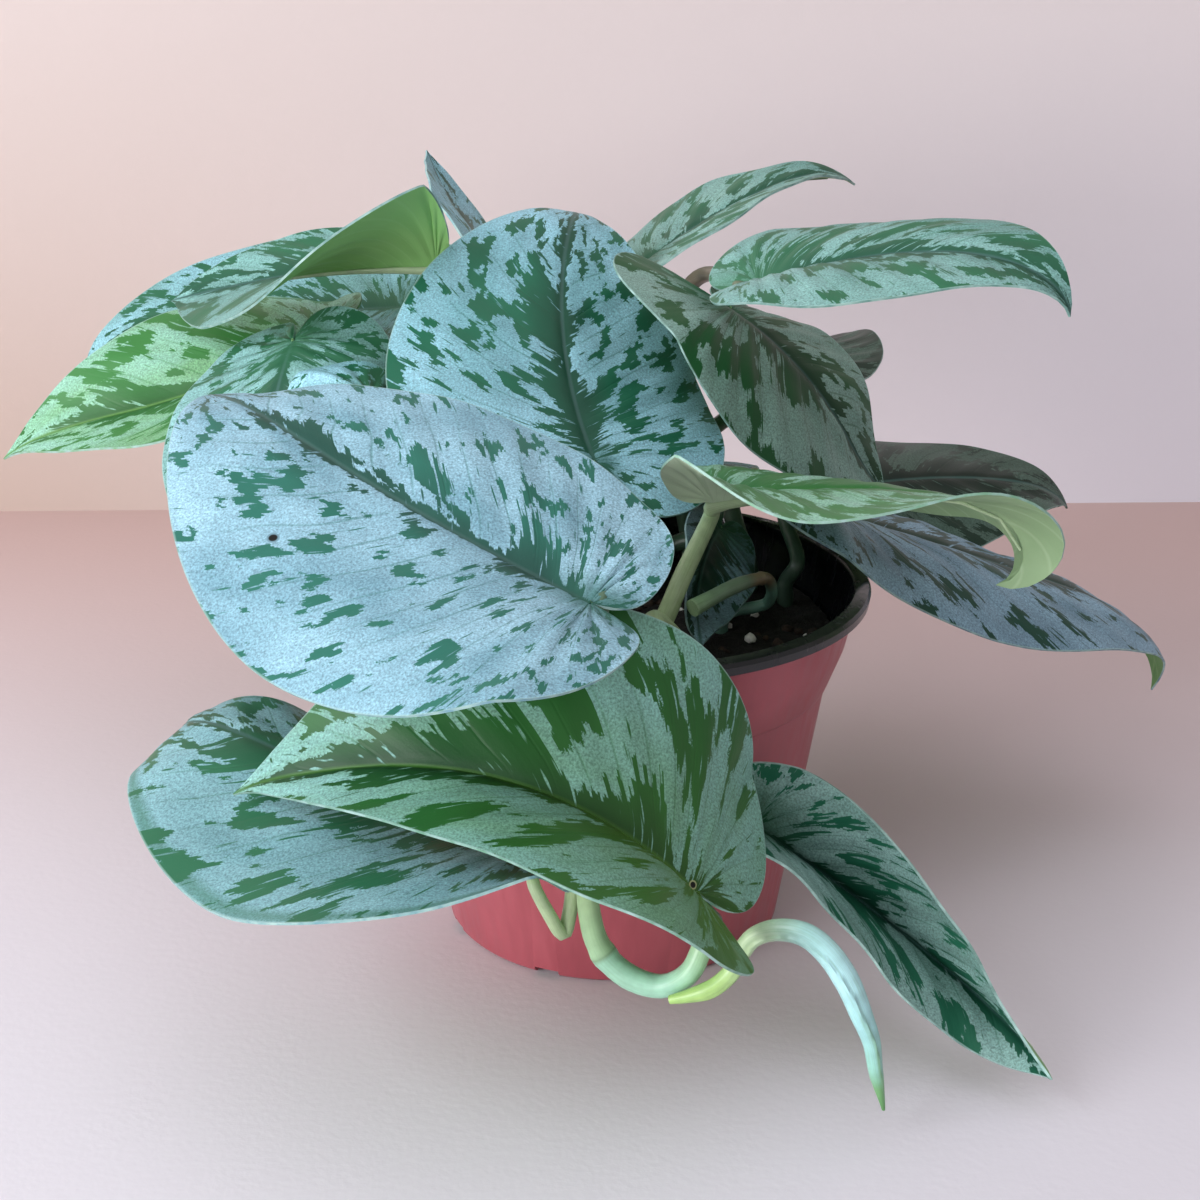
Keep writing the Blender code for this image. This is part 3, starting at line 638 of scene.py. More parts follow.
def write_uv(piece: bpy.types.Object, layer: str, values: np.ndarray) -> None:
    """Write one UV pair for each vertex into a layer.

    Args:
        piece: Mesh object.
        layer: Name of the UV layer, made if it isn't there.
        values: One row for each vertex.
    """
    mesh = piece.data
    target = mesh.uv_layers.get(layer) or mesh.uv_layers.new(name=layer)
    corner = np.zeros(len(mesh.loops), dtype=np.int32)
    mesh.loops.foreach_get("vertex_index", corner)
    target.data.foreach_set("uv", values[corner].astype(np.float32).ravel())


def apply_modifier(piece: bpy.types.Object, kind: str, **settings) -> None:
    """Add a modifier with its settings and apply it.

    Args:
        piece: Mesh object.
        kind: Type of the modifier.
        **settings: Its properties.
    """
    choose(piece)
    modifier = piece.modifiers.new(kind.title(), kind)
    for key, value in settings.items():
        setattr(modifier, key, value)
    bpy.ops.object.modifier_apply(modifier=modifier.name)


def smooth(piece: bpy.types.Object, angle: float) -> None:
    """Shade smooth, with edges sharper than an angle in degrees kept."""
    choose(piece)
    bpy.ops.object.shade_smooth_by_angle(angle=math.radians(angle))


def join(pieces: list[bpy.types.Object]) -> bpy.types.Object:
    """Join meshes into the first one.

    Args:
        pieces: Mesh objects.

    Returns:
        The joined object.
    """
    deselect_all()
    for piece in pieces:
        piece.select_set(True)
    bpy.context.view_layer.objects.active = pieces[0]
    if len(pieces) > 1:
        bpy.ops.object.join()
    return pieces[0]


def hand_over(piece: bpy.types.Object, nodes: list[str]) -> None:
    """Declare a finished piece to the frame.

    Args:
        piece: Finished object.
        nodes: Nodes that it stands for.
    """
    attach(piece, "root")
    if nodes:
        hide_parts(*nodes)
    LOG.info("%s: %d faces", piece.name, len(piece.data.polygons))


def smooth_route(points: list[Vector], steps: int) -> list[Vector]:
    """Evenly spaced points on a Catmull-Rom curve through the given points.

    Args:
        points: Points that the curve passes.
        steps: Spans of the result.

    Returns:
        The route's points.
    """
    ends = [points[0] * 2 - points[1], *points, points[-1] * 2 - points[-2]]
    dense = []
    for a, b, c, d in zip(ends, ends[1:], ends[2:], ends[3:]):
        for k in range(ROUTE_SAMPLES):
            t = k / ROUTE_SAMPLES
            dense.append(0.5 * ((2 * b) + (c - a) * t + (2 * a - 5 * b + 4 * c - d) * t * t
                                + (3 * b - a - 3 * c + d) * t ** 3))
    dense.append(points[-1])
    run = [0.0]
    for first, second in zip(dense, dense[1:]):
        run.append(run[-1] + (second - first).length)
    route = []
    for index in range(steps + 1):
        goal = run[-1] * index / steps
        k = next(i for i in range(1, len(run)) if run[i] >= goal - 1e-9)
        span = max(run[k] - run[k - 1], 1e-9)
        route.append(dense[k - 1].lerp(dense[k], (goal - run[k - 1]) / span))
    return route


def spread(values: list[float], share: float) -> float:
    """Value at a share of a list, straight between its entries.

    Args:
        values: Evenly spaced values.
        share: Place from 0 to 1.

    Returns:
        The value there.
    """
    place = min(max(share, 0.0), 1.0) * (len(values) - 1)
    low = min(int(place), len(values) - 2)
    return values[low] + (values[low + 1] - values[low]) * (place - low)


@dataclass
class Tube:
    """A stem along a route, as a grid rolled up and closed at both ends."""

    name: str
    route: list[Vector]
    radii: list[float]
    upright: Vector
    sides: int = 20
    groove: float = 0.0        # depth of the channel along its upper side, share of the radius
    rings: tuple = ()          # shares of the length with a node ring
    lap: float = 0.0           # step where a rolled leaf overlaps itself, share of the radius
    seam: tuple = (0.0, 0.0)   # where the lap starts round the tube and how far it turns
    lap_growth: float = 3.0    # the lap has its full step after one part in this many
    ring_swell: float = 0.16   # how far a node ring stands out, share of the radius
    ring_narrowness: float = 1.2
    groove_width: float = 0.22

    def frames(self) -> list[tuple[Vector, Vector, Vector]]:
        """Points with two axes across the route, carried along without twist.

        Returns:
            Point, side axis and upper axis for each route point.
        """
        frames = []
        up = self.upright
        last = len(self.route) - 1
        for index in range(last, -1, -1):
            ahead = self.route[min(index + 1, last)]
            behind = self.route[max(index - 1, 0)]
            way = (ahead - behind).normalized()
            up = (up - way * up.dot(way)).normalized()
            frames.append((self.route[index], way.cross(up), up))
        return frames[::-1]

    def build(self) -> bpy.types.Object:
        """Roll the grid and close its ends.

        Returns:
            The tube.
        """
        frames = self.frames()
        rows = len(frames) + 1

        def place(u: float, v: float) -> Vector:
            """Point of the tube.

            Args:
                u: Share of the way round.
                v: Share of the way along.

            Returns:
                The point in millimetres.
            """
            row = round(v * rows)
            index = min(max(row - 1, 0), len(frames) - 1)
            point, side, up = frames[index]
            if row in (0, rows):
                return point
            share = index / (len(frames) - 1)
            radius = spread(self.radii, share)
            for ring in self.rings:
                gap = (share - ring) * len(frames)
                radius *= 1.0 + self.ring_swell * math.exp(-gap * gap * self.ring_narrowness)
            angle = TURN * u
            dip = math.exp(-(math.sin(angle / 2) / self.groove_width) ** 2)
            radius *= 1.0 - self.groove * dip
            spiral = (u - self.seam[0] - self.seam[1] * share) % 1.0
            radius *= 1.0 + self.lap * (0.5 - spiral) * min(1.0, share * self.lap_growth)
            return point + (side * math.sin(angle) + up * math.cos(angle)) * radius

        piece = shaped_grid(self.name, self.sides, rows, place)
        values = np.array([(v.index // (self.sides + 1) / rows, v.index % (self.sides + 1)
                            / self.sides) for v in piece.data.vertices])
        write_uv(piece, "UVMap", values)
        write_uv(piece, "flat", values)
        weld(piece, 0.005)
        face_outwards(piece)
        smooth(piece, 70.0)
        return piece


# The heart-shaped outline of one half of a blade, from the notch at the petiole to the
# tip, as Bezier arcs: along the midrib in leaf lengths, across it in half widths
HEART = (
    ((0.0, 0.0), (-0.11, 0.03), (-0.17, 0.12), (-0.165, 0.36)),
    ((-0.165, 0.36), (-0.16, 0.72), (0.0, 1.0), (0.24, 1.0)),
    ((0.24, 1.0), (0.50, 1.0), (0.78, 0.46), (0.92, 0.14)),
    ((0.92, 0.14), (0.95, 0.07), (0.98, 0.02), (1.0, 0.0)),
)


@dataclass
class Outline:
    """Half the heart as points with the run along them."""

    points: list[Vector] = field(default_factory=list)
    run: list[float] = field(default_factory=list)

    def __post_init__(self) -> None:
        """Trace the arcs once."""
        for arc in HEART:
            curve = interpolate_bezier(*[Vector((*p, 0.0)) for p in arc], ARC_STEPS)
            self.points.extend(curve if not self.points else curve[1:])
        self.run.append(0.0)
        for first, second in zip(self.points, self.points[1:]):
            step = second - first
            self.run.append(self.run[-1] + math.hypot(step.x, step.y * OUTLINE_ASPECT))

    def at(self, mark: float) -> Vector:
        """Point on the outline.

        Args:
            mark: Share of the way from the notch to the tip.

        Returns:
            The point in leaf lengths and half widths.
        """
        goal = self.run[-1] * min(max(mark, 0.0), 1.0)
        k = min(max(int(np.searchsorted(self.run, goal)), 1), len(self.run) - 1)
        share = (goal - self.run[k - 1]) / (self.run[k] - self.run[k - 1])
        return self.points[k - 1].lerp(self.points[k], share)


OUTLINE = Outline()
RIB_STOPS = (0.04, 0.08, 0.13, 0.19, 0.26, 0.34, 0.43, 0.53, 0.64, 0.75, 0.86)


@dataclass
class Leaf:
    """One leaf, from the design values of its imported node, angles in degrees."""

    name: str
    base: tuple                # where the blade meets its petiole
    heading: float             # direction of the midrib seen from above
    rise: float                # slope of the midrib at the base
    roll: float                # turn about the midrib
    length: float
    left: float                # half widths
    right: float
    droop: float               # bend of the midrib from base to tip
    tip_curl: float
    sweep: float
    twist: float
    fold_left: tuple           # lift of each half from the midrib: base, middle, tip
    fold_right: tuple
    cup_left: float            # curve of each half back down towards its edge
    cup_right: float
    root: tuple                # where the petiole starts
    via: tuple = ()
    lobe_left: float = 1.0
    lobe_right: float = 1.0
    fullness: float = 0.0
    hook: float = 0.0
    reach: tuple = (9, 13)
    girth: float = 1.0         # size of the petiole against the usual
    look: dict = field(default_factory=dict)
    underside: tuple = ("#86B37A", "#5F9156", "#A9C99A", "#86B37A")
    petiole: StemSkin = StemSkin("petiole")
    wave: float = 0.6          # height of the waves along the margin
    wave_count: float = 2.3
    wavelet: float = 0.45      # height of the smaller ones on them, share of a wave's
    wavelet_count: float = 5.1
    groove_depth: float = 0.55  # channel of the midrib
    groove_width: float = 1.3
    vein_height: float = 0.26  # side veins of a half
    vein_count: int = 13
    ripple_height: float = 0.06
    ripple_count: int = 37
    swell: float = 1.3         # slow rise and fall of the blade
    swell_length: float = 24.0
    columns: int = 56
    rows: int = 96

    def spine(self) -> list[tuple]:
        """Points and axes along the midrib.

        Returns:
            Point, along, left and up for each step.
        """
        heading, rise, roll = (math.radians(a) for a in (self.heading, self.rise, self.roll))
        along = Vector((math.cos(heading) * math.cos(rise), math.sin(heading) * math.cos(rise),
                        math.sin(rise)))
        up = (Vector((0.0, 0.0, 1.0)) - along * along.z).normalized()
        left = up.cross(along)
        left, up = (left * math.cos(roll) + up * math.sin(roll),
                    up * math.cos(roll) - left * math.sin(roll))
        marks = [(k + 0.5) / SPINE_STEPS for k in range(SPINE_STEPS)]
        curl = [max(0.0, mark - CURL_START) for mark in marks]
        hook = [max(0.0, mark - HOOK_START) for mark in marks]
        sweep = math.radians(self.sweep) / SPINE_STEPS
        twist = math.radians(self.twist) / SPINE_STEPS
        frames = [(Vector(self.base), along, left, up)]
        for c, h in zip(curl, hook):
            bend = math.radians(self.droop / SPINE_STEPS + self.tip_curl * c / sum(curl)
                                + self.hook * h / sum(hook))
            point, along, left, up = frames[-1]
            dipped = along * math.cos(bend) - up * math.sin(bend)
            raised = up * math.cos(bend) + along * math.sin(bend)
            swept = dipped * math.cos(sweep) + left * math.sin(sweep)
            side = left * math.cos(sweep) - dipped * math.sin(sweep)
            turned_left = side * math.cos(twist) + raised * math.sin(twist)
            turned_up = raised * math.cos(twist) - side * math.sin(twist)
            step = (along + swept) * (self.length / SPINE_STEPS / 2)
            frames.append((point + step, swept, turned_left, turned_up))
        return frames

    def frame_at(self, frames: list[tuple], share: float) -> tuple:
        """The point and axes at a place on the midrib.

        Args:
            frames: The midrib's points and axes.
            share: Share of its length.

        Returns:
            Point, along, left and up.
        """
        place = min(max(share, 0.0), 1.0) * (len(frames) - 1)
        k = min(int(place), len(frames) - 2)
        return tuple(a.lerp(b, place - k) for a, b in zip(frames[k], frames[k + 1]))

    def bend(self, frames: list[tuple], side: Side, x: float, y: float) -> Vector:
        """Bend a point of the flat blade into place.

        Args:
            frames: The midrib's points and axes.
            side: Half of the blade.
            x: Distance along the midrib.
            y: Distance out from it.

        Returns:
            The point in millimetres.
        """
        share = x / self.length
        point, along, left, up = self.frame_at(frames, share)
        point = point + along * min(x, 0.0)
        width, folds, cup = ((self.left, self.fold_left, self.cup_left) if side is Side.LEFT
                             else (self.right, self.fold_right, self.cup_right))
        s = min(max(share, 0.0), 1.0)
        fold = math.radians(folds[0] * (1 - s) * (1 - 2 * s) + folds[1] * 4 * s * (1 - s)
                            + folds[2] * s * (2 * s - 1))
        curve = math.radians(cup) / width
        if abs(curve) < 1e-5:
            curve = 1e-5
        out = (math.sin(fold) - math.sin(fold - curve * y)) / curve
        lift = (math.cos(fold - curve * y) - math.cos(fold)) / curve
        return point + left * (side.value * out) + up * lift

    def flat_place(self, side: Side, mark: float, t: float) -> tuple[float, float]:
        """Place in the flat blade of a share along a side vein.

        Args:
            side: Half of the blade.
            mark: Which vein, from notch to tip.
            t: Share of the way out along the vein.

        Returns:
            Distance along the midrib and out from it.
        """
        width, lobe = ((self.left, self.lobe_left) if side is Side.LEFT
                       else (self.right, self.lobe_right))
        station = OUTLINE.at(mark)
        x = station.x * lobe
        if station.x > 0:
            x = station.x + self.fullness * station.x * (1 - station.x)
        edge = (x * self.length, station.y * width)
        start = self.length * max((x + NOTCH) / (1 + NOTCH), 0.0) ** VEIN_CROWDING
        bow = (start + VEIN_BOW[0] * (edge[0] - start), VEIN_BOW[1] * edge[1])
        return ((1 - t) ** 2 * start + 2 * t * (1 - t) * bow[0] + t * t * edge[0],
                2 * t * (1 - t) * bow[1] + t * t * edge[1])

    def relief(self, side: Side, mark: float, t: float, x: float, y: float) -> float:
        """Low relief of the upper face: midrib groove, side veins and margin waves.

        Args:
            side: Half of the blade.
            mark: Which vein.
            t: Share of the way out.
            x: Distance along the midrib.
            y: Distance out from it.

        Returns:
            Height in millimetres.
        """
        seed = sum(self.base)
        fade = math.sin(math.pi * min(t, 1.0)) ** 0.7
        groove = -self.groove_depth * math.exp(-(y / self.groove_width) ** 2)
        groove *= max(0.0, 1.0 - x / self.length) ** 0.4
        veins = self.vein_height * math.cos(TURN * mark * self.vein_count + side.value) * fade
        ripples = self.ripple_height * math.cos(TURN * mark * self.ripple_count + seed) * fade
        phase = seed * 0.37 + side.value
        waves = self.wave * t ** 3 * (
            math.sin(TURN * mark * self.wave_count + phase)
            + self.wavelet * math.sin(TURN * mark * self.wavelet_count + phase * 2))
        spot = Vector((x / self.swell_length, side.value * y / self.swell_length, seed))
        swell = noise.noise(spot) * self.swell * min(1, y / 8)
        return (groove + veins + ripples + swell + waves) * min(1.0, (1.0 - mark) * 12, mark * 12)

    def blade(self, frames: list[tuple]) -> bpy.types.Object:
        """The blade: a bent grid with relief and thickness.

        Args:
            frames: The midrib's points and axes.

        Returns:
            The blade's object.
        """
        marks, flats, heights = [], [], []

        def place(u: float, v: float) -> Vector:
            """Point of the blade, whose marks and height are kept for later.

            Args:
                u: Share of the way across.
                v: Share of the way from the notch to the tip.

            Returns:
                The point in millimetres.
            """
            side = Side.LEFT if u < 0.5 else Side.RIGHT
            t = abs(1.0 - 2.0 * u) ** 1.15
            x, y = self.flat_place(side, v, t)
            marks.append((v, 0.5 + 0.5 * side.value * t))
            flats.append((x / self.length, 0.5 + side.value * y / FLAT_SPAN))
            heights.append(self.relief(side, v, t, x, y))
            return self.bend(frames, side, x, y)

        piece = shaped_grid(self.name + "_blade", self.columns, self.rows, place)
        write_uv(piece, "UVMap", np.array(marks))
        write_uv(piece, "flat", np.array(flats))
        normals = [vertex.normal.copy() for vertex in piece.data.vertices]
        for vertex, normal, height in zip(piece.data.vertices, normals, heights):
            vertex.co += normal * (height * MM)
        weld(piece, 0.02)
        for finish in self.finishes():
            piece.data.materials.append(finish)
        apply_modifier(piece, "SOLIDIFY", thickness=BLADE_THICKNESS * MM, offset=0.0,
                       material_offset=1, material_offset_rim=2)
        smooth(piece, 60.0)
        return piece

    def finishes(self) -> list[bpy.types.Material]:
        """Materials of the upper side, the underside and the edge.

        Returns:
            The three materials.
        """
        short = self.name.removeprefix("leaf_")
        cuticle = LeafCuticle(short, outline=self.length * 1.35,
                              width=(self.left + self.right) / 2 * 1.1, length=self.length,
                              seed=sum(self.base) % 23.0, **self.look)
        below = LeafUnderside(short, *self.underside)
        edge = PlainMatt("leaf_edge_" + short, cuticle.edge, cuticle.silver_shade, 300.0, 0.5)
        return [cuticle.material(), below.material(), edge.material()]

    def stalk(self, frames: list[tuple]) -> bpy.types.Object:
        """The petiole with the rib that it becomes under the blade.

        Args:
            frames: The midrib's points and axes.

        Returns:
            The stalk's object.
        """
        point, along, _, up = frames[0]
        seat = point - up * (0.5 + PETIOLE_TIP_RADIUS * self.girth) - along * 0.5
        approach = point - along * self.reach[0] - up * self.reach[1]
        start = Vector(self.root)
        stops = [start]
        if len(self.root) == 2:
            start = Vector((*self.root, SOIL_LEVEL + 3.0))
            stops = [start, start + Vector((0.0, 0.0, 4.0))]
        stops += [Vector(p) for p in self.via] + [approach, seat]
        route = smooth_route(stops, 40)
        if len(self.root) == 2:
            route.insert(0, Vector((*self.root, SOIL_LEVEL - ROOT_DEPTH)))
        last = len(route) - 1
        radii = [(PETIOLE_ROOT_RADIUS + (PETIOLE_TIP_RADIUS - PETIOLE_ROOT_RADIUS) * k / last)
                 * self.girth for k in range(last + 1)]
        for share in RIB_STOPS:
            place, _, _, lift = self.frame_at(frames, share)
            radius = RIB_TIP_RADIUS + RIB_GROWTH * (1.0 - share) ** RIB_TAPER
            route.append(place - lift * (radius + BLADE_THICKNESS))
            radii.append(radius)
        tube = Tube(self.name + "_stalk", route, radii, up, groove=0.10)
        piece = tube.build()
        piece.data.materials.append(self.petiole.material())
        return piece

    def build(self) -> bpy.types.Object:
        """Blade and stalk as one piece, handed over to the frame.

        Returns:
            The leaf.
        """
        frames = self.spine()
        blade = self.blade(frames)
        piece = join([blade, self.stalk(frames)])
        piece.name = piece.data.name = self.name + "_living"
        hand_over(piece, [self.name])
        return piece


# A petiole skin darkened with painted shade, for petioles in the pot and under the blades.
PAINTED_SHADE_PETIOLE = StemSkin("painted_shade_petiole", fibre="#2E4434", course=(
    (0.0, "#2E4236"), (0.45, "#476350"), (0.75, "#4F6C52"), (1.0, "#6C8F68")))
# Its dark root end is painted shade inside the pot; the brown stretch is the stem's own colour.
BROWN_PETIOLE = StemSkin("brown_petiole", fibre="#4A4438", course=(
    (0.0, "#33463A"), (0.30, "#5C5748"), (0.62, "#6B6254"), (0.75, "#5A6B50"), (1.0, "#6C8F68")))

# Shaded copies of the leaf finish: painted shade for leaves in the shade at the back and inside the
# pot.
PAINTED_SHADE_DARK = dict(silver="#6C8A93", silver_shade="#54717B", green="#1D4638", green_deep="#173528")
PAINTED_SHADE_DEEP = dict(silver="#4F675B", silver_shade="#3F5549", green="#1C3628", green_deep="#16291F")
MID = dict(silver="#94C4D2", silver_shade="#6FA0A8", green="#22634A", green_deep="#194A38")
SAGE = dict(silver="#86B0A8", silver_shade="#648F87", green="#2A6446", green_deep="#1F4E3A")
YELLOW = dict(silver="#96C5AE", silver_shade="#7BAE86", green="#3A7A3C", green_deep="#2E6230",
              midrib="#568340")

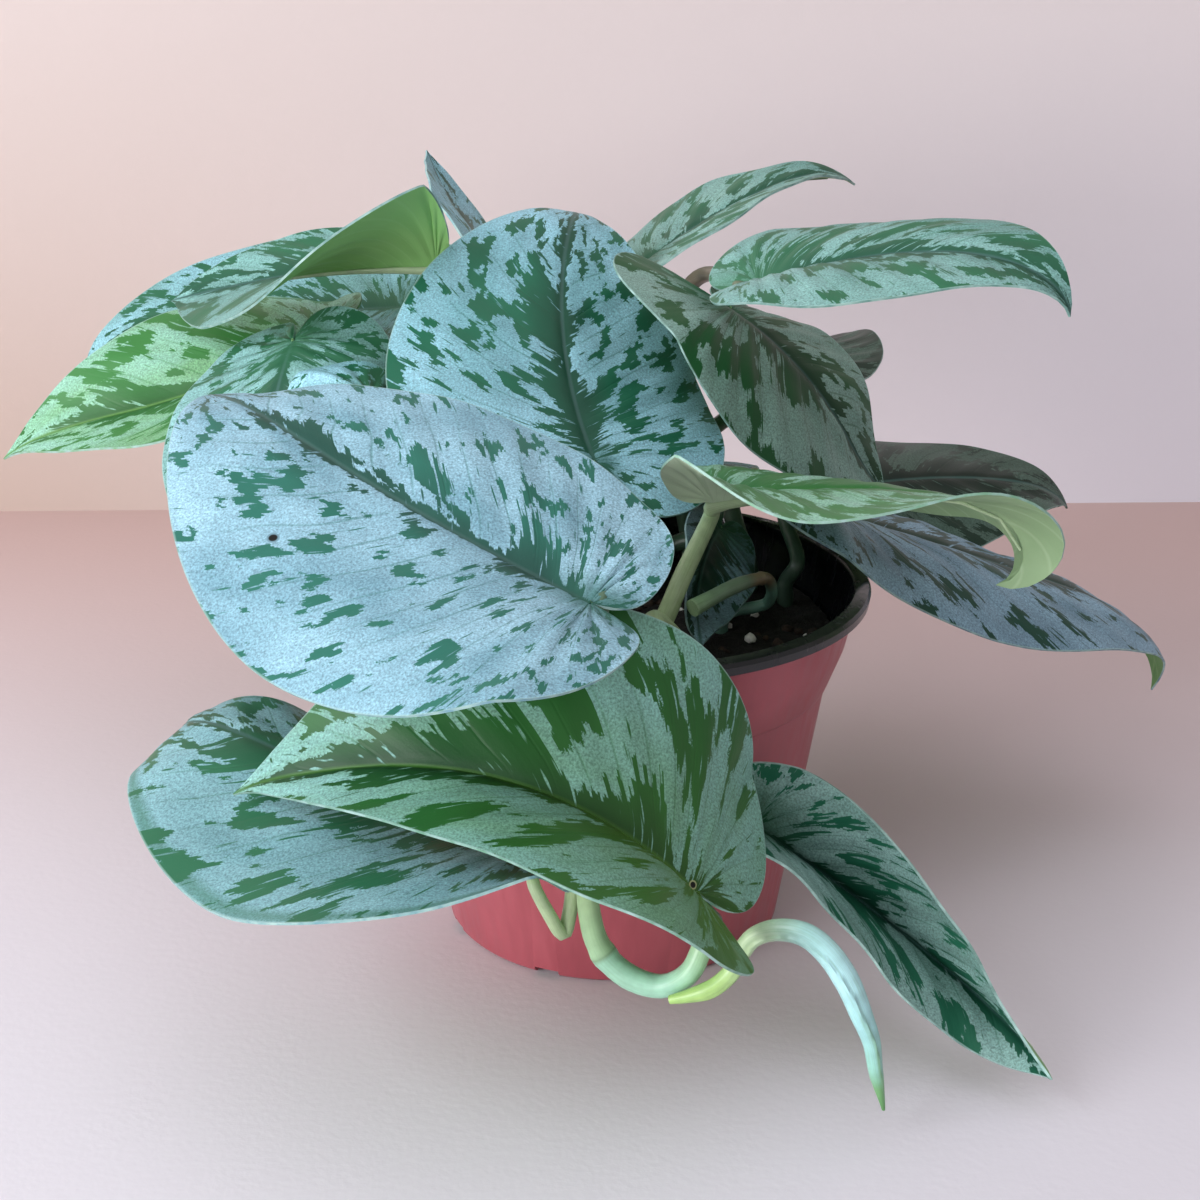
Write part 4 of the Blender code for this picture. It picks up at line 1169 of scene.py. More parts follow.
LEAVES = (
    Leaf("leaf_front_large",
         base=(-5, -81, 115), heading=158, rise=19, roll=-18, length=124, left=54, right=39,
         droop=10, tip_curl=39, sweep=-22, twist=-14, fold_left=(27, 4, 23), fold_right=(5, 5, -29),
         cup_left=33, cup_right=17, root=(1, -10), via=((9, -45, 112), (-2, -76, 115)),
         lobe_left=0.8, lobe_right=0.5, fullness=0.17, reach=(3, 5), petiole=PAINTED_SHADE_PETIOLE,
         look=dict(silver="#9AC1D0", silver_shade="#7099A7", cover=0.425, green="#28695A",
                   green_deep="#204A40", flame_left=3.5, flame_right=8.0, flame_end=0.8,
                   blush="#2F6656", foot=0.10, spots=((63.9, 25.2, 1.1, "#6C8E9A"),))),
    Leaf("leaf_centre",
         base=(-5, 19, 117), heading=114, rise=37, roll=-7, length=109, left=49, right=43, droop=2,
         tip_curl=55, sweep=-36, twist=3, fold_left=(13, 6, -6), fold_right=(0, -10, 9),
         cup_left=26, cup_right=21, root=(-8, 13), via=((-8, 14, 97),), lobe_right=1.1,
         fullness=0.08, reach=(4, 7), petiole=PAINTED_SHADE_PETIOLE,
         look=dict(MID, cover=0.45, fleck=7.0, flame_left=6.0, flame_right=6.0, foot=0.08,
                   blush="#1F5544")),
    Leaf("leaf_right_centre",
         base=(32, 69, 147), heading=-27, rise=-26, roll=9, length=77, left=31, right=39, droop=76,
         tip_curl=-37, sweep=28, twist=18, fold_left=(-15, 0, 6), fold_right=(21, 16, 31),
         cup_left=25, cup_right=36, root=(21, 43), via=((17, 69, 114),), lobe_left=0.8,
         lobe_right=2.5, fullness=-0.06, hook=-6, reach=(3, 17), petiole=PAINTED_SHADE_PETIOLE,
         look=dict(silver="#86A79C", silver_shade="#688B7E", green="#20552F", green_deep="#183E26",
                   cover=0.47, fleck=7.0, stretch=2.2, flame_left=5.0, flame_right=7.0,
                   flame_end=1.0)),
    Leaf("leaf_top_right",
         base=(38, 46, 158), heading=-23, rise=24, roll=7, length=93, left=30, right=32, droop=28,
         tip_curl=44, sweep=-27, twist=12, fold_left=(45, 20, 23), fold_right=(23, 12, 11),
         cup_left=61, cup_right=31, root=(9, 46),
         via=((11, 58, 97), (13, 82, 126), (19, 89, 145), (26, 77, 155)), lobe_right=0.5,
         fullness=-0.05, hook=42, reach=(4, 0), petiole=BROWN_PETIOLE,
         look=dict(SAGE, silver="#7FA8A2", cover=0.46, flame_left=10.0, flame_right=5.0,
                   flame_end=0.95)),
    Leaf("leaf_right_front",
         base=(24, -4, 114), heading=-10, rise=13, roll=34, length=97, left=33, right=41, droop=27,
         tip_curl=138, sweep=-12, twist=-35, fold_left=(-8, -21, -15), fold_right=(71, 27, 84),
         cup_left=54, cup_right=6, root=(7, -27), via=((11.5, -25, 89), (17, -19, 100)),
         lobe_left=0.6, lobe_right=0.5, fullness=-0.05, hook=27, reach=(2, 7),
         # A lighter underside: painted light for its lobe that faces down, with a near-white
         # painted highlight round the petiole.
         underside=("#A2BE94", "#88A87C", "#C0D8B2", "#DDF4D4"),
         look=dict(YELLOW, silver="#93BFAA", silver_shade="#7CAA8C", green="#447C48",
                   green_deep="#39703C", cover=0.53, flame_left=5.0, flame_right=5.0)),
    Leaf("leaf_top_back",
         base=(8, 108, 152), heading=23, rise=33, roll=6, length=78, left=26, right=27, droop=26,
         tip_curl=41, sweep=0, twist=2, fold_left=(1, 4, 21), fold_right=(19, 19, 7), cup_left=17,
         cup_right=2, root=(-2, 48), via=((-5, 77, 110),), lobe_left=0.9, lobe_right=1.1,
         fullness=-0.09, reach=(16, 12), petiole=PAINTED_SHADE_PETIOLE,
         look=dict(SAGE, silver="#80A69C", cover=0.47, flame_left=5.0, flame_right=6.0)),
    Leaf("leaf_right_low",
         base=(53, 32, 101), heading=11, rise=-19, roll=-6, length=131, left=37, right=40, droop=5,
         tip_curl=55, sweep=5, twist=5, fold_left=(13, 12, -8), fold_right=(11, -2, -1),
         cup_left=38, cup_right=50, root=(45, 14), via=((48, 15, 92),), lobe_left=0.9,
         fullness=0.08, hook=36, reach=(7, 4), petiole=PAINTED_SHADE_PETIOLE, girth=0.8,
         look=dict(PAINTED_SHADE_DARK, silver="#8AAABC", silver_shade="#62808F", cover=0.44, flame_left=6.0,
                   flame_right=4.0)),
    Leaf("leaf_right_back",
         base=(70, 90, 89), heading=22, rise=3, roll=29, length=86, left=33, right=30, droop=20,
         tip_curl=35, sweep=-11, twist=9, fold_left=(10, -13, 23), fold_right=(2, 0, 27),
         cup_left=32, cup_right=10, root=(36, 26), via=((34, 61, 98),), lobe_right=0.9,
         fullness=-0.28, reach=(4, 4), petiole=PAINTED_SHADE_PETIOLE,
         look=dict(PAINTED_SHADE_DEEP, cover=0.46)),
    Leaf("leaf_back_small",
         base=(50, 94, 128), heading=67, rise=-3, roll=24, length=65, left=27, right=25, droop=13,
         tip_curl=78, sweep=11, twist=-62, fold_left=(1, -23, -6), fold_right=(7, 0, 10),
         cup_left=3, cup_right=-3, root=(4, 15), via=((13, 47, 105),), lobe_left=0.9,
         lobe_right=0.9, fullness=-0.18, reach=(16, 12), petiole=PAINTED_SHADE_PETIOLE,
         look=dict(PAINTED_SHADE_DEEP, cover=0.48)),
    Leaf("leaf_left_fold",
         base=(-50.4, 85, 156.1), heading=178, rise=0, roll=-34, length=88, left=42, right=22,
         droop=36, tip_curl=-4, sweep=-8, twist=-20, fold_left=(90, 50, 30),
         fold_right=(-18, -7, 8), cup_left=24, cup_right=16, root=(-14, 46), via=((-27, 78, 125),),
         lobe_left=0.3, lobe_right=0.2, fullness=0.09, reach=(16, 12),
         underside=("#94CC7C", "#7CB466", "#A2D48E", "#94CC7C"),
         look=dict(SAGE, silver="#7FAFA9", cover=0.49, fleck=9.0)),
    Leaf("leaf_left_back",
         base=(-65, 132, 134), heading=168, rise=-5, roll=-35, length=114, left=37, right=36,
         droop=-8, tip_curl=55, sweep=18, twist=-5, fold_left=(23, 19, 22), fold_right=(-4, -1, 14),
         cup_left=-8, cup_right=-5, root=(-33, 30), via=((-45, 51, 110), (-51, 92, 125)),
         fullness=-0.16, hook=21, reach=(3, 4),
         look=dict(SAGE, silver="#8ABAC4", cover=0.455)),
    Leaf("leaf_back_upright",
         base=(-27.6, 115, 138.5), heading=119, rise=21, roll=34, length=82, left=29, right=36,
         droop=-8, tip_curl=-11, sweep=3, twist=-16, fold_left=(19, 30, 34),
         fold_right=(12, -12, -4), cup_left=18, cup_right=15, root=(-7, 40), via=((-13, 60, 110),),
         lobe_right=1.5, fullness=-0.03, reach=(8, 5),
         look=dict(MID, cover=0.42)),
    Leaf("leaf_left_far",
         base=(-82, 93, 135), heading=186, rise=-28, roll=0, length=109, left=34, right=39,
         droop=-22, tip_curl=39, sweep=-12, twist=-31, fold_left=(-7, 4, 15),
         fold_right=(25, 49, 23), cup_left=-2, cup_right=55, root=(-28, 5), via=((-40, 55, 121),),
         lobe_left=0.6, lobe_right=0.6, fullness=-0.23, reach=(5, 5),
         look=dict(YELLOW, silver="#8FC0AE", silver_shade="#74A67A", cover=0.47, fleck=8.0,
                   flame_left=9.0, flame_right=9.0)),
    Leaf("leaf_left_mid",
         base=(-89, 63, 139), heading=255, rise=-34, roll=9, length=94, left=35, right=38, droop=98,
         tip_curl=27, sweep=-15, twist=-21, fold_left=(-1, 6, 33), fold_right=(-22, -11, 19),
         cup_left=59, cup_right=-8, root=(-28, -5), via=((-51, 50, 110), (-75, 62, 134)),
         lobe_left=0.9, lobe_right=0.7, fullness=-0.07, reach=(-4, 4),
         look=dict(SAGE, silver="#86B5B4", cover=0.46, flame_left=12.0, flame_right=6.0)),
    Leaf("leaf_left_under",
         base=(-64, 34, 130), heading=240, rise=-2, roll=-35, length=77, left=39, right=29,
         droop=93, tip_curl=-8, sweep=8, twist=85, fold_left=(4, -9, 37), fold_right=(-4, -33, -7),
         cup_left=48, cup_right=52, root=(-46, 0), via=((-50, 13, 90),), lobe_left=0.7,
         lobe_right=1.1, fullness=0.11, reach=(3, 16),
         look=dict(MID, cover=0.42, flame_left=8.0, flame_right=8.0)),
    Leaf("leaf_lower_front",
         base=(18, -100, 56), heading=179, rise=49, roll=-31, length=112, left=30, right=46,
         droop=83, tip_curl=-22, sweep=24, twist=6, fold_left=(39, 19, -6), fold_right=(-5, 40, 17),
         cup_left=13, cup_right=6, root=(20.2, -92.9, 40.5), via=((21.6, -93.2, 44.5),),
         lobe_left=0.9, lobe_right=0.8, fullness=-0.16, hook=20, reach=(6, 3), petiole=PAINTED_SHADE_PETIOLE,
         look=dict(silver="#82B2AC", silver_shade="#6C9A82", green="#28602E", green_deep="#1A4424",
                   midrib="#3E6A2C", blush="#4E7420", foot=0.55, blush_right=0.35, cover=0.46,
                   fleck=8.0, stretch=2.6, flame_left=3.5, flame_right=8.0, flame_end=1.0,
                   spots=((1.8, -0.8, 0.75, "#9FA878"),))),
    Leaf("leaf_lower_left",
         base=(-18, -86, 57), heading=174, rise=22, roll=-21, length=117, left=49, right=38,
         droop=33, tip_curl=107, sweep=-29, twist=-10, fold_left=(46, 0, 5),
         fold_right=(-7, -12, 9), cup_left=2, cup_right=64, root=(-9.1, -82.5, 60),
         via=((-9, -82, 48), (-9.9, -83, 41), (-11.3, -84, 36.8), (-14.5, -86, 43.4),
              (-17.5, -87, 50.7)),
         lobe_left=0.5, lobe_right=0.5, fullness=0.07, reach=(2, 5), girth=0.7,
         look=dict(silver="#84AEB4", silver_shade="#6A969C", green="#296547", green_deep="#205038",
                   cover=0.465, fleck=7.0, stretch=2.0, flame_left=8.0, margin_green=0.6)),
    Leaf("leaf_lower_right",
         base=(33, -49, 47), heading=-7, rise=-34, roll=63, length=99, left=24, right=28, droop=-53,
         tip_curl=-38, sweep=-9, twist=17, fold_left=(43, 56, 80), fold_right=(72, 66, 5),
         cup_left=5, cup_right=-9, root=(16, -32),
         via=((9, -53, 100), (15, -73, 88), (26, -64, 61)), lobe_left=0.8, reach=(9, -12),
         look=dict(MID, silver="#8DB0AA", silver_shade="#6E9188", cover=0.45, stretch=2.2,
                   flame_left=4.0, flame_right=8.0, flame_end=1.0)),
    Leaf("leaf_inner",
         base=(28, 23, 98), heading=-109, rise=-9, roll=-48, length=55, left=15, right=11, droop=-4,
         tip_curl=-11, sweep=25, twist=21, fold_left=(-2, 9, 20), fold_right=(12, 42, 2),
         cup_left=-9, cup_right=20, root=(13, 32), via=((16, 32, 90),), lobe_left=0.8,
         fullness=0.11, hook=20, reach=(3, 6), petiole=PAINTED_SHADE_PETIOLE,
         look=dict(PAINTED_SHADE_DARK, cover=0.42)),
    Leaf("leaf_rear_left",
         base=(-38, 71, 98), heading=127, rise=-8, roll=4, length=88, left=31, right=27, droop=38,
         tip_curl=25, sweep=8, twist=0, fold_left=(16, 12, 8), fold_right=(14, 12, 8), cup_left=22,
         cup_right=24, root=(-25, 41), via=((-30, 54, 99),), reach=(8, 4), petiole=PAINTED_SHADE_PETIOLE,
         look=dict(MID, cover=0.42)),
    Leaf("leaf_rear_right",
         base=(13, 80, 97), heading=83, rise=-12, roll=2, length=92, left=26, right=28, droop=45,
         tip_curl=20, sweep=-6, twist=0, fold_left=(12, 12, 10), fold_right=(16, 12, 8),
         cup_left=26, cup_right=22, root=(-5, 28), via=((0, 45, 101),), reach=(6, 4),
         petiole=PAINTED_SHADE_PETIOLE,
         look=dict(MID, cover=0.42)),
)


@dataclass
class Stem:
    """A bare stem along its route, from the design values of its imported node."""

    name: str
    stops: tuple
    radii: tuple
    skin: StemSkin
    rings: tuple = ()
    lap: float = 0.0
    steps: int = 90

    def route(self) -> list[Vector]:
        """Points along the stem, with the rooted end first.

        Returns:
            The route.
        """
        points = [Vector(p) for p in self.stops]
        rooted = points[0].z < SOIL_LEVEL - 1.0 and points[1].z > SOIL_LEVEL
        route = smooth_route(points[1:] if rooted else points, self.steps)
        return [points[0], *route] if rooted else route

    def build(self) -> bpy.types.Object:
        """Build the stem and hand it over.

        Returns:
            The stem.
        """
        tube = Tube(self.name + "_living", self.route(), list(self.radii),
                    Vector((0.0, 0.0, 1.0)), sides=40, rings=self.rings, lap=self.lap,
                    seam=(self.skin.seam_from, self.skin.seam_turn))
        piece = tube.build()
        piece.data.materials.append(self.skin.material())
        hand_over(piece, [self.name])
        return piece


VINE_SKIN = StemSkin("vine", fibre="#8DB58C", course=(
    (0.50, "#A6B884"), (0.66, "#A2BE8C"), (0.772, "#A0C49A"), (0.778, "#7C9C7A"),
    (0.784, "#9ECFB4"), (0.90, "#A4D6BC"), (1.0, "#A6CB98")))
NEW_SKIN = StemSkin("new_growth", fibre="#7FAE84", seam=0.80, seam_from=0.52, seam_turn=-0.42,
                    roughness=0.34, course=(
                        (0.0, "#A9CF72"), (0.14, "#AFD480"), (0.24, "#B4CE9A"), (0.36, "#B2CBA8"),
                        (0.45, "#A6D6D0"), (0.58, "#B6E4E8"), (0.74, "#A2D6D6"), (0.86, "#92C8B8"),
                        (0.92, "#6FA46A"), (1.0, "#4E8444")))
STUB_SKIN = StemSkin("old_stub", fibre="#5B6E52", course=(
    (0.20, "#5F8A7A"), (0.42, "#6C9A88"), (0.50, "#6A5C48"), (0.60, "#7A6A52"),
    (0.66, "#6C806A"), (0.85, "#789578"), (0.97, "#8BAE84"), (1.0, "#A9C79B")))

STEMS = (
    Stem("stem_front",
         stops=((-8, -41, 67), (-8, -41, 82), (-8, -52, 97), (-8, -66, 103), (-8, -79, 95),
                (-8, -85, 76), (-6.5, -86, 58), (-5.8, -86, 48.5), (-5.2, -86.3, 42.7),
                (-3.8, -87, 37), (-0.7, -88, 32), (4.9, -90, 28.6), (11.5, -92, 28.3),
                (17, -94, 33.1), (20, -93, 40)),
         radii=(2.4, 2.4, 2.3, 2.3, 2.4, 2.9, 2.3), skin=VINE_SKIN, rings=(0.42, 0.785)),
    Stem("leaf_new",
         stops=((12.5, -96.6, 27.6), (16.5, -97.5, 29.1), (21.7, -98, 31.4), (25.8, -97.5, 35.2),
                (27.7, -97, 39.6), (30.6, -97.5, 44.1), (35.5, -99.5, 47), (41.3, -102, 47.2),
                (46.2, -104, 43.8), (50.3, -106, 38.1), (53.5, -107, 30.6), (56, -107, 23.7),
                (57.2, -107, 16.6), (58.9, -107, 8.7), (59.3, -107, 6.5)),
         radii=(1.0, 2.0, 2.0, 2.1, 2.4, 2.7, 2.8, 2.5, 2.0, 1.6, 0.4), skin=NEW_SKIN, lap=0.30),
    Stem("stem_stub",
         stops=((27, -6, 67), (27, -6, 81.5), (28, -5.7, 84), (31, -4.5, 85), (35, -3.5, 85.2),
                (38.8, -3.5, 86.5), (39.8, -6, 90.5), (38.3, -9, 94.8), (35, -12, 95.8),
                (29, -17, 95.5), (19, -25, 93)),
         radii=(2.0, 1.6, 1.5, 1.5, 1.6, 1.9, 1.9, 2.2), skin=STUB_SKIN, rings=(0.55,)),
)


@dataclass
class Pot:
    """The thin nursery pot: red outside, black inside with a black lip."""

    rim_radius: float = 65.0
    height: float = 92.5
    lip_height: float = 3.6
    collar_top_radius: float = 61.5
    collar_mid_radius: float = 58.2
    collar_mid_height: float = 75.5
    collar_foot_radius: float = 55.4
    collar_foot_height: float = 67.3
    wall_top_radius: float = 54.5
    base_radius: float = 43.6
    base_corner: float = 1.2
    wall: float = 1.5
    floor_lift: float = 2.6
    foot_width: float = 3.2
    centre_pad_radius: float = 20.0
    holes: int = 8
    hole_radius: float = 3.5
    hole_ring_radius: float = 31.0
    notch_width: float = 6.5
    notch_height: float = 1.9
    notch_depth: float = 8.0
    hole_sides: int = 32
    hole_depth: float = 12.0
    sides: int = 144

    def wall_radius(self, height: float) -> float:
        """Outside radius of the wall at a height."""
        share = height / self.collar_foot_height
        return self.base_radius + (self.wall_top_radius - self.base_radius) * share

    def section(self) -> list[tuple[float, float]]:
        """Radius and height round the pot's section, from inside floor to underside.

        Returns:
            The section's points.
        """
        lip_foot = self.height - self.lip_height
        inner = self.rim_radius - 4.7
        floor_top = self.floor_lift + self.wall
        foot_inner = self.base_radius - self.foot_width
        inside = [
            (0.6, floor_top),
            (self.wall_radius(floor_top) - self.wall - 1.5, floor_top),
            (self.wall_radius(floor_top) - self.wall, floor_top + 1.5),
            (self.wall_radius(self.collar_foot_height) - self.wall, self.collar_foot_height + 1),
            (self.collar_mid_radius - self.wall, self.collar_mid_height),
            (inner, self.height - 1.4),
            (inner + 0.3, self.height - 0.5),
            (inner + 0.9, self.height),
        ]
        outside = [
            (self.rim_radius - 1.6, self.height),
            (self.rim_radius - 0.6, self.height - 0.35),
            (self.rim_radius, self.height - 1.3),
            (self.rim_radius - 0.3, lip_foot + 0.3),
            (self.rim_radius - 0.8, lip_foot),
            (self.collar_top_radius + 0.3, lip_foot),
            (self.collar_top_radius, lip_foot - 0.4),
            (self.collar_mid_radius + 0.9, self.collar_mid_height + 2.4),
            (self.collar_mid_radius, self.collar_mid_height),
            (self.collar_foot_radius, self.collar_foot_height + 0.8),
            (self.collar_foot_radius - 0.25, self.collar_foot_height + 0.2),
            (self.wall_top_radius, self.collar_foot_height - 0.3),
            (self.wall_radius(30.0), 30.0),
            (self.wall_radius(self.base_corner), self.base_corner),
            (self.base_radius - self.base_corner * 0.4, self.base_corner * 0.35),
            (self.base_radius - self.base_corner, 0.0),
        ]
        underside = [
            (foot_inner, 0.0),
            (foot_inner - 1.0, self.floor_lift),
            (self.centre_pad_radius + 2.0, self.floor_lift),
            (self.centre_pad_radius, 0.0),
            (0.6, 0.0),
        ]
        return inside + outside + underside

    def build(self) -> bpy.types.Object:
        """Draw the wall up ring by ring, cut the holes, and hand the pot over.

        Returns:
            The pot.
        """
        deselect_all()
        section = self.section()
        bpy.ops.mesh.primitive_circle_add(vertices=self.sides, radius=section[0][0] * MM,
                                          location=(0, 0, section[0][1] * MM))
        piece = bpy.context.object
        piece.name = piece.data.name = "pot_moulded"
        bpy.ops.object.transform_apply(location=True)
        bpy.ops.object.mode_set(mode="EDIT")
        bpy.ops.mesh.select_mode(type="EDGE")
        bpy.ops.mesh.select_all(action="SELECT")
        for (radius, height), (wider, higher) in zip(section, section[1:]):
            bpy.ops.mesh.extrude_region()
            bpy.ops.transform.resize(value=(wider / radius, wider / radius, 1.0),
                                     center_override=(0.0, 0.0, height * MM))
            bpy.ops.transform.translate(value=(0.0, 0.0, (higher - height) * MM))
        bpy.ops.mesh.select_mode(type="VERT")
        bpy.ops.mesh.select_all(action="DESELECT")
        bpy.ops.mesh.select_non_manifold()
        bpy.ops.mesh.edge_face_add()
        bpy.ops.mesh.select_all(action="SELECT")
        bpy.ops.mesh.normals_make_consistent(inside=False)
        bpy.ops.object.mode_set(mode="OBJECT")
        for index in range(self.holes):
            angle = TURN * index / self.holes
            bpy.ops.mesh.primitive_cylinder_add(
                vertices=self.hole_sides, radius=self.hole_radius * MM,
                depth=self.hole_depth * MM,
                location=(self.hole_ring_radius * math.cos(angle) * MM,
                          self.hole_ring_radius * math.sin(angle) * MM, 3.0 * MM))
            self._cut(piece, bpy.context.object)
            angle = TURN * (index + 0.5) / self.holes - math.pi / 2
            reach = self.base_radius - 1.5
            bpy.ops.mesh.primitive_cube_add(
                size=1.0, location=(reach * math.cos(angle) * MM, reach * math.sin(angle) * MM, 0),
                rotation=(0.0, 0.0, angle),
                scale=(self.notch_depth * MM, self.notch_width * MM, self.notch_height * 2 * MM))
            self._cut(piece, bpy.context.object)
        self._paint(piece)
        smooth(piece, 32.0)
        hand_over(piece, ["pot"])
        return piece

    def _cut(self, piece: bpy.types.Object, cutter: bpy.types.Object) -> None:
        """Cut one closed shape out of the pot, and delete the cutter."""
        apply_modifier(piece, "BOOLEAN", operation="DIFFERENCE", solver="EXACT", object=cutter)
        bpy.data.objects.remove(cutter, do_unlink=True)

    def _paint(self, piece: bpy.types.Object) -> None:
        """Give the outside its red and the inside with the lip its black.

        Args:
            piece: The pot.
        """
        red = MouldedPolypropylene("red", "#B45963", "#9E4852")
        black = MouldedPolypropylene("black", "#111417", "#0A0C0E", 0.22)
        piece.data.materials.append(red.material())
        piece.data.materials.append(black.material())
        lip_foot = (self.height - self.lip_height - 0.15) * MM
        for face in piece.data.polygons:
            centre = face.center
            outward = face.normal.x * centre.x + face.normal.y * centre.y > 0
            floor = centre.z < self.floor_lift * MM + 0.0002
            face.material_index = 0 if (outward or floor) and centre.z < lip_foot else 1


@dataclass
class Soil:
    """The potting mix: a closed body with a crumbly top, perlite grains and bark bits."""

    level: float = SOIL_LEVEL
    dish: float = 1.5          # how much higher the middle is than the edge
    dish_radius: float = 57.0
    crumbs: tuple = ((9.0, 1.5, 3.0), (3.1, 1.0, 8.0), (1.4, 0.55, 5.0))   # width, height, seed
    clearance: float = 0.5
    heights: tuple = (20.0, 40.0, 60.0, 68.5, 75.5)
    strewn: float = 55.0       # radius that the grains and bits cover
    rings: int = 44
    sides: int = 150
    grains: int = 46
    bits: int = 90
    seed: int = 7

    def radius_at(self, pot: Pot, height: float) -> float:
        """Radius of the soil: inside the pot's wall, less the clearance.

        Args:
            pot: The pot that it fills.
            height: Height above the table.

        Returns:
            The radius.
        """
        if height > pot.collar_foot_height:
            share = ((height - pot.collar_foot_height)
                     / (pot.collar_mid_height - pot.collar_foot_height))
            outer = (pot.wall_radius(pot.collar_foot_height)
                     + (pot.collar_mid_radius - pot.wall_radius(pot.collar_foot_height)) * share)
        else:
            outer = pot.wall_radius(height)
        return outer - pot.wall - self.clearance

    def surface(self, x: float, y: float) -> float:
        """Height of the crumbly surface.

        Args:
            x: Place to the right of the pot's axis.
            y: Place behind it.

        Returns:
            The height.
        """
        rise = self.level + self.dish * (1 - (math.hypot(x, y) / self.dish_radius) ** 2)
        for width, height, seed in self.crumbs:
            rise += noise.noise(Vector((x / width, y / width, seed))) * height
        return rise

    def build(self, pot: Pot) -> None:
        """Build the body, the perlite and the bark, and hand them over.

        Args:
            pot: The pot that it fills.
        """
        low = pot.floor_lift + pot.wall + 0.3
        heights = [low, *self.heights]
        top = self.radius_at(pot, heights[-1])
        total = self.rings + len(heights) + 1

        def place(u: float, v: float) -> Vector:
            """Point of the soil.

            Args:
                u: Share of the way round.
                v: Share of the way from its middle over its edge and down its side.

            Returns:
                The point in millimetres.
            """
            angle = TURN * u
            row = round(v * total)
            if row <= self.rings:
                radius = (top - 0.3) * (row / self.rings) ** 0.8
                x, y = radius * math.cos(angle), radius * math.sin(angle)
                return Vector((x, y, self.surface(x, y)))
            step = row - self.rings - 1
            if step < len(heights):
                height = heights[len(heights) - 1 - step]
                radius = self.radius_at(pot, height)
                return Vector((radius * math.cos(angle), radius * math.sin(angle), height))
            return Vector((0.0, 0.0, low))

        piece = shaped_grid("potting_mix", self.sides, total, place)
        weld(piece, 0.005)
        face_outwards(piece)
        smooth(piece, 50.0)
        piece.data.materials.append(PottingMix().material())
        hand_over(piece, ["soil"])
        draws = random.Random(self.seed)
        perlite = PlainMatt("perlite_expanded_glass", "#E9E9E4", "#C9C9C2").material()
        bark = PlainMatt("bark_shreds", "#3A2A1E", "#1D1510").material()
        self._scatter("perlite_grains", self.grains, (0.7, 1.6), 0.35, perlite, draws)
        self._scatter("bark_bits", self.bits, (0.8, 2.6), 0.6, bark, draws)

    def _scatter(self, name: str, count: int, sizes: tuple, flatten: float,
                 material: bpy.types.Material, draws: random.Random) -> None:
        """Scatter lumps over the surface as one piece.

        Args:
            name: Name of the piece.
            count: Number of lumps.
            sizes: Smallest and largest radius.
            flatten: How much flatter a lump is than wide.
            material: Finish of the lumps.
            draws: Seeded random numbers.
        """
        lumps = []
        for _ in range(count):
            radius = draws.uniform(*sizes)
            reach = self.strewn * math.sqrt(draws.random())
            angle = draws.uniform(0.0, TURN)
            x, y = reach * math.cos(angle), reach * math.sin(angle)
            deselect_all()
            bpy.ops.mesh.primitive_ico_sphere_add(subdivisions=2, radius=radius * MM)
            lump = bpy.context.object
            squash = (draws.uniform(0.7, 1.3), draws.uniform(0.5, 1.0),
                      1.0 - flatten * draws.random())
            turn = draws.uniform(0.0, TURN)
            shift = draws.uniform(0.0, 50.0)
            centre = Vector((x, y, self.surface(x, y) + radius * 0.15)) * MM
            for vertex in lump.data.vertices:
                p = vertex.co
                p = p * (1.0 + 0.35 * noise.noise(p / (radius * MM) * 1.3 + Vector((shift, 0, 0))))
                p = Vector((p.x * squash[0], p.y * squash[1], p.z * squash[2]))
                vertex.co = Vector((p.x * math.cos(turn) - p.y * math.sin(turn),
                                    p.x * math.sin(turn) + p.y * math.cos(turn), p.z)) + centre
            lumps.append(lump)
        piece = join(lumps)
        piece.name = piece.data.name = name
        smooth(piece, 40.0)
        piece.data.materials.append(material)
        hand_over(piece, [])


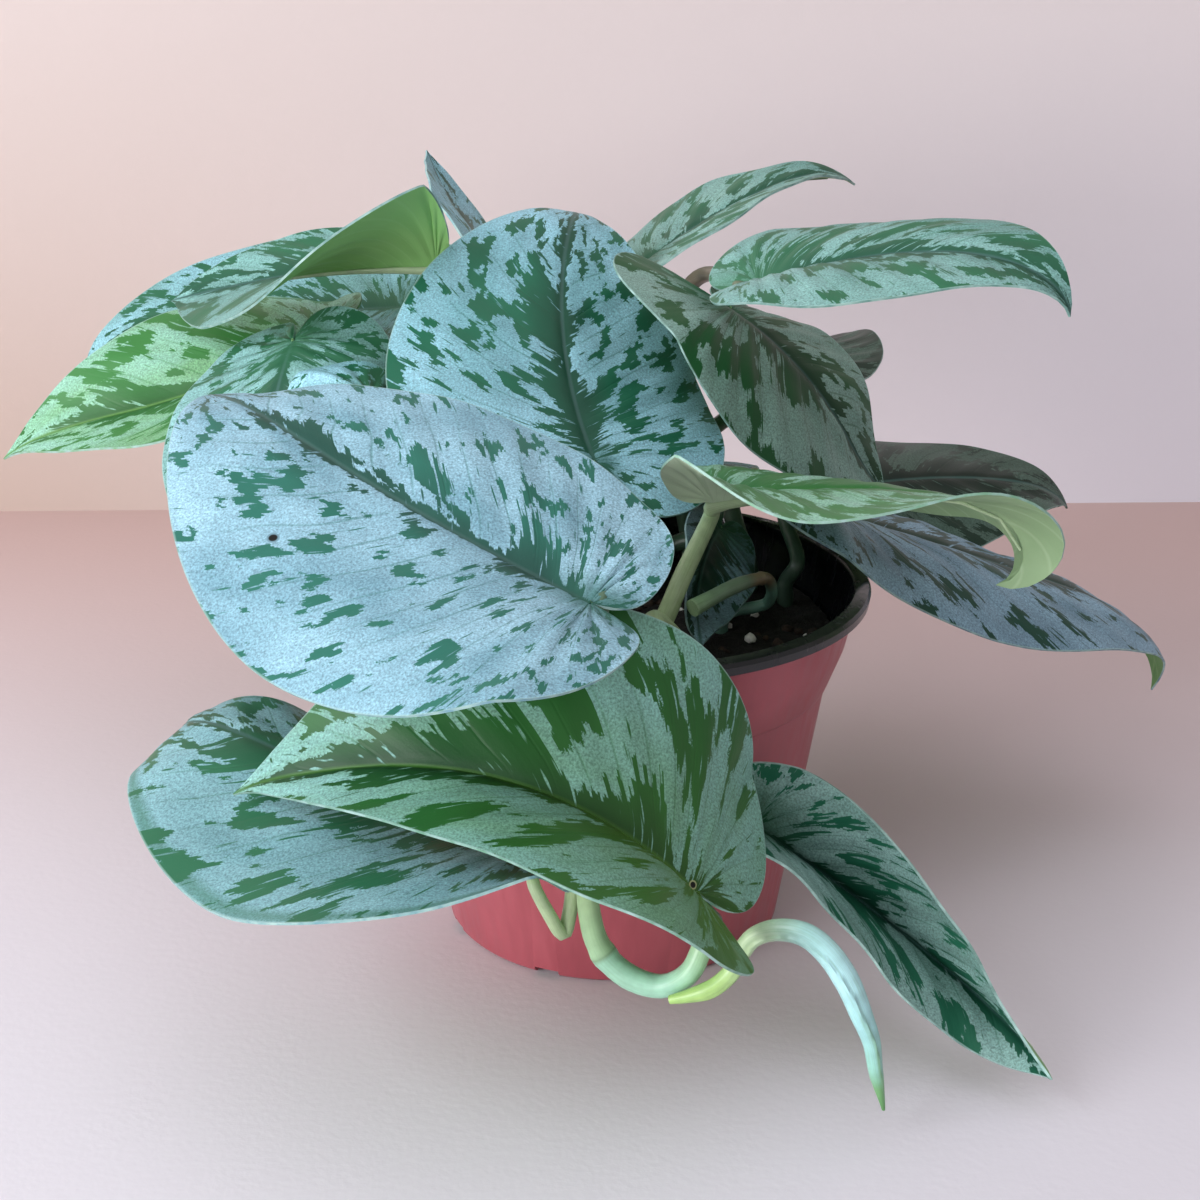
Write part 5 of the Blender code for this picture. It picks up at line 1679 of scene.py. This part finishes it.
@dataclass
class Studio:
    """Table, wall, soft light and the camera."""

    camera_place: tuple = (0.0, -0.480, 0.2625)
    camera_pitch: float = 20.2
    camera_yaw: float = 0.43
    lens: float = 60.0
    sensor: float = 36.0
    wall_distance: float = 0.352
    wall_turn: float = 1.9
    stage_size: float = 6.0
    table_drop: float = 0.0002
    aim: tuple = (0.0, 0.0, 0.1)
    lights: tuple = (
        ("window", (-1.15, -0.75, 0.95), (0.9, 0.9), 16.5, "#F2F7FF"),
        ("ceiling", (-0.05, -0.10, 1.4), (1.9, 1.9), 7.4, "#F2F8FF"),
        ("low_window", (-0.85, -0.80, 0.22), (0.7, 0.36), 9.5, "#FAF8FA"))
    room_colour: str = "#F2ECEE"
    room_strength: float = 0.49

    def build(self) -> None:
        """Set the stage, the light and the camera."""
        deselect_all()
        bpy.ops.mesh.primitive_plane_add(size=self.stage_size,
                                         location=(0.0, 0.0, -self.table_drop))
        floor = bpy.context.object
        floor.name = "table"
        paint = StagePaint("painted_board", "#DAD6DC", "#D8D4DA", "#C4A8A2")
        floor.data.materials.append(paint.material())
        deselect_all()
        bpy.ops.mesh.primitive_plane_add(
            size=self.stage_size, location=(0.0, self.wall_distance, 0.0),
            rotation=(math.radians(90.0), 0.0, math.radians(self.wall_turn)))
        wall = bpy.context.object
        wall.name = "wall"
        # The wall's paint carries painted light: dim and warm on the left, bright and cool on the
        # right.
        paint = StagePaint("wall_paint", "#B6A092", "#EEEEF9", "#D2C6C2", one_sided=True)
        wall.data.materials.append(paint.material())
        for light in self.lights:
            self._light(*light)
        world = bpy.data.worlds.new("soft_room")
        bpy.context.scene.world = world
        world.use_nodes = True
        background = world.node_tree.nodes["Background"]
        background.inputs["Color"].default_value = hex_colour(self.room_colour)
        background.inputs["Strength"].default_value = self.room_strength
        data = bpy.data.cameras.new("camera")
        data.lens = self.lens
        data.sensor_width = self.sensor
        camera = bpy.data.objects.new("camera", data)
        camera.location = self.camera_place
        camera.rotation_euler = (math.radians(90.0 - self.camera_pitch), 0.0,
                                 math.radians(self.camera_yaw))
        bpy.context.scene.collection.objects.link(camera)
        bpy.context.scene.camera = camera
        bpy.context.scene.view_settings.view_transform = "Standard"

    def _light(self, name: str, place: tuple, size: tuple, power: float, colour: str) -> None:
        """Add a soft rectangular light that faces the plant.

        Args:
            name: Name of the light.
            place: Where it hangs.
            size: Width and height.
            power: Watts.
            colour: Its hex colour.
        """
        data = bpy.data.lights.new(name, "AREA")
        data.shape = "RECTANGLE"
        data.size, data.size_y = size
        data.energy = power
        data.color = hex_colour(colour)[:3]
        light = bpy.data.objects.new(name, data)
        light.location = place
        way = Vector(self.aim) - Vector(place)
        light.rotation_euler = way.to_track_quat("-Z", "Y").to_euler()
        bpy.context.scene.collection.objects.link(light)


def main() -> None:
    """Build every piece in order."""
    logging.basicConfig(level=logging.INFO, format="%(message)s")
    Studio().build()
    pot = Pot()
    pot.build()
    Soil().build(pot)
    for leaf in LEAVES:
        leaf.build()
    for stem in STEMS:
        stem.build()
    deselect_all()


if __name__ == "__main__":
    main()
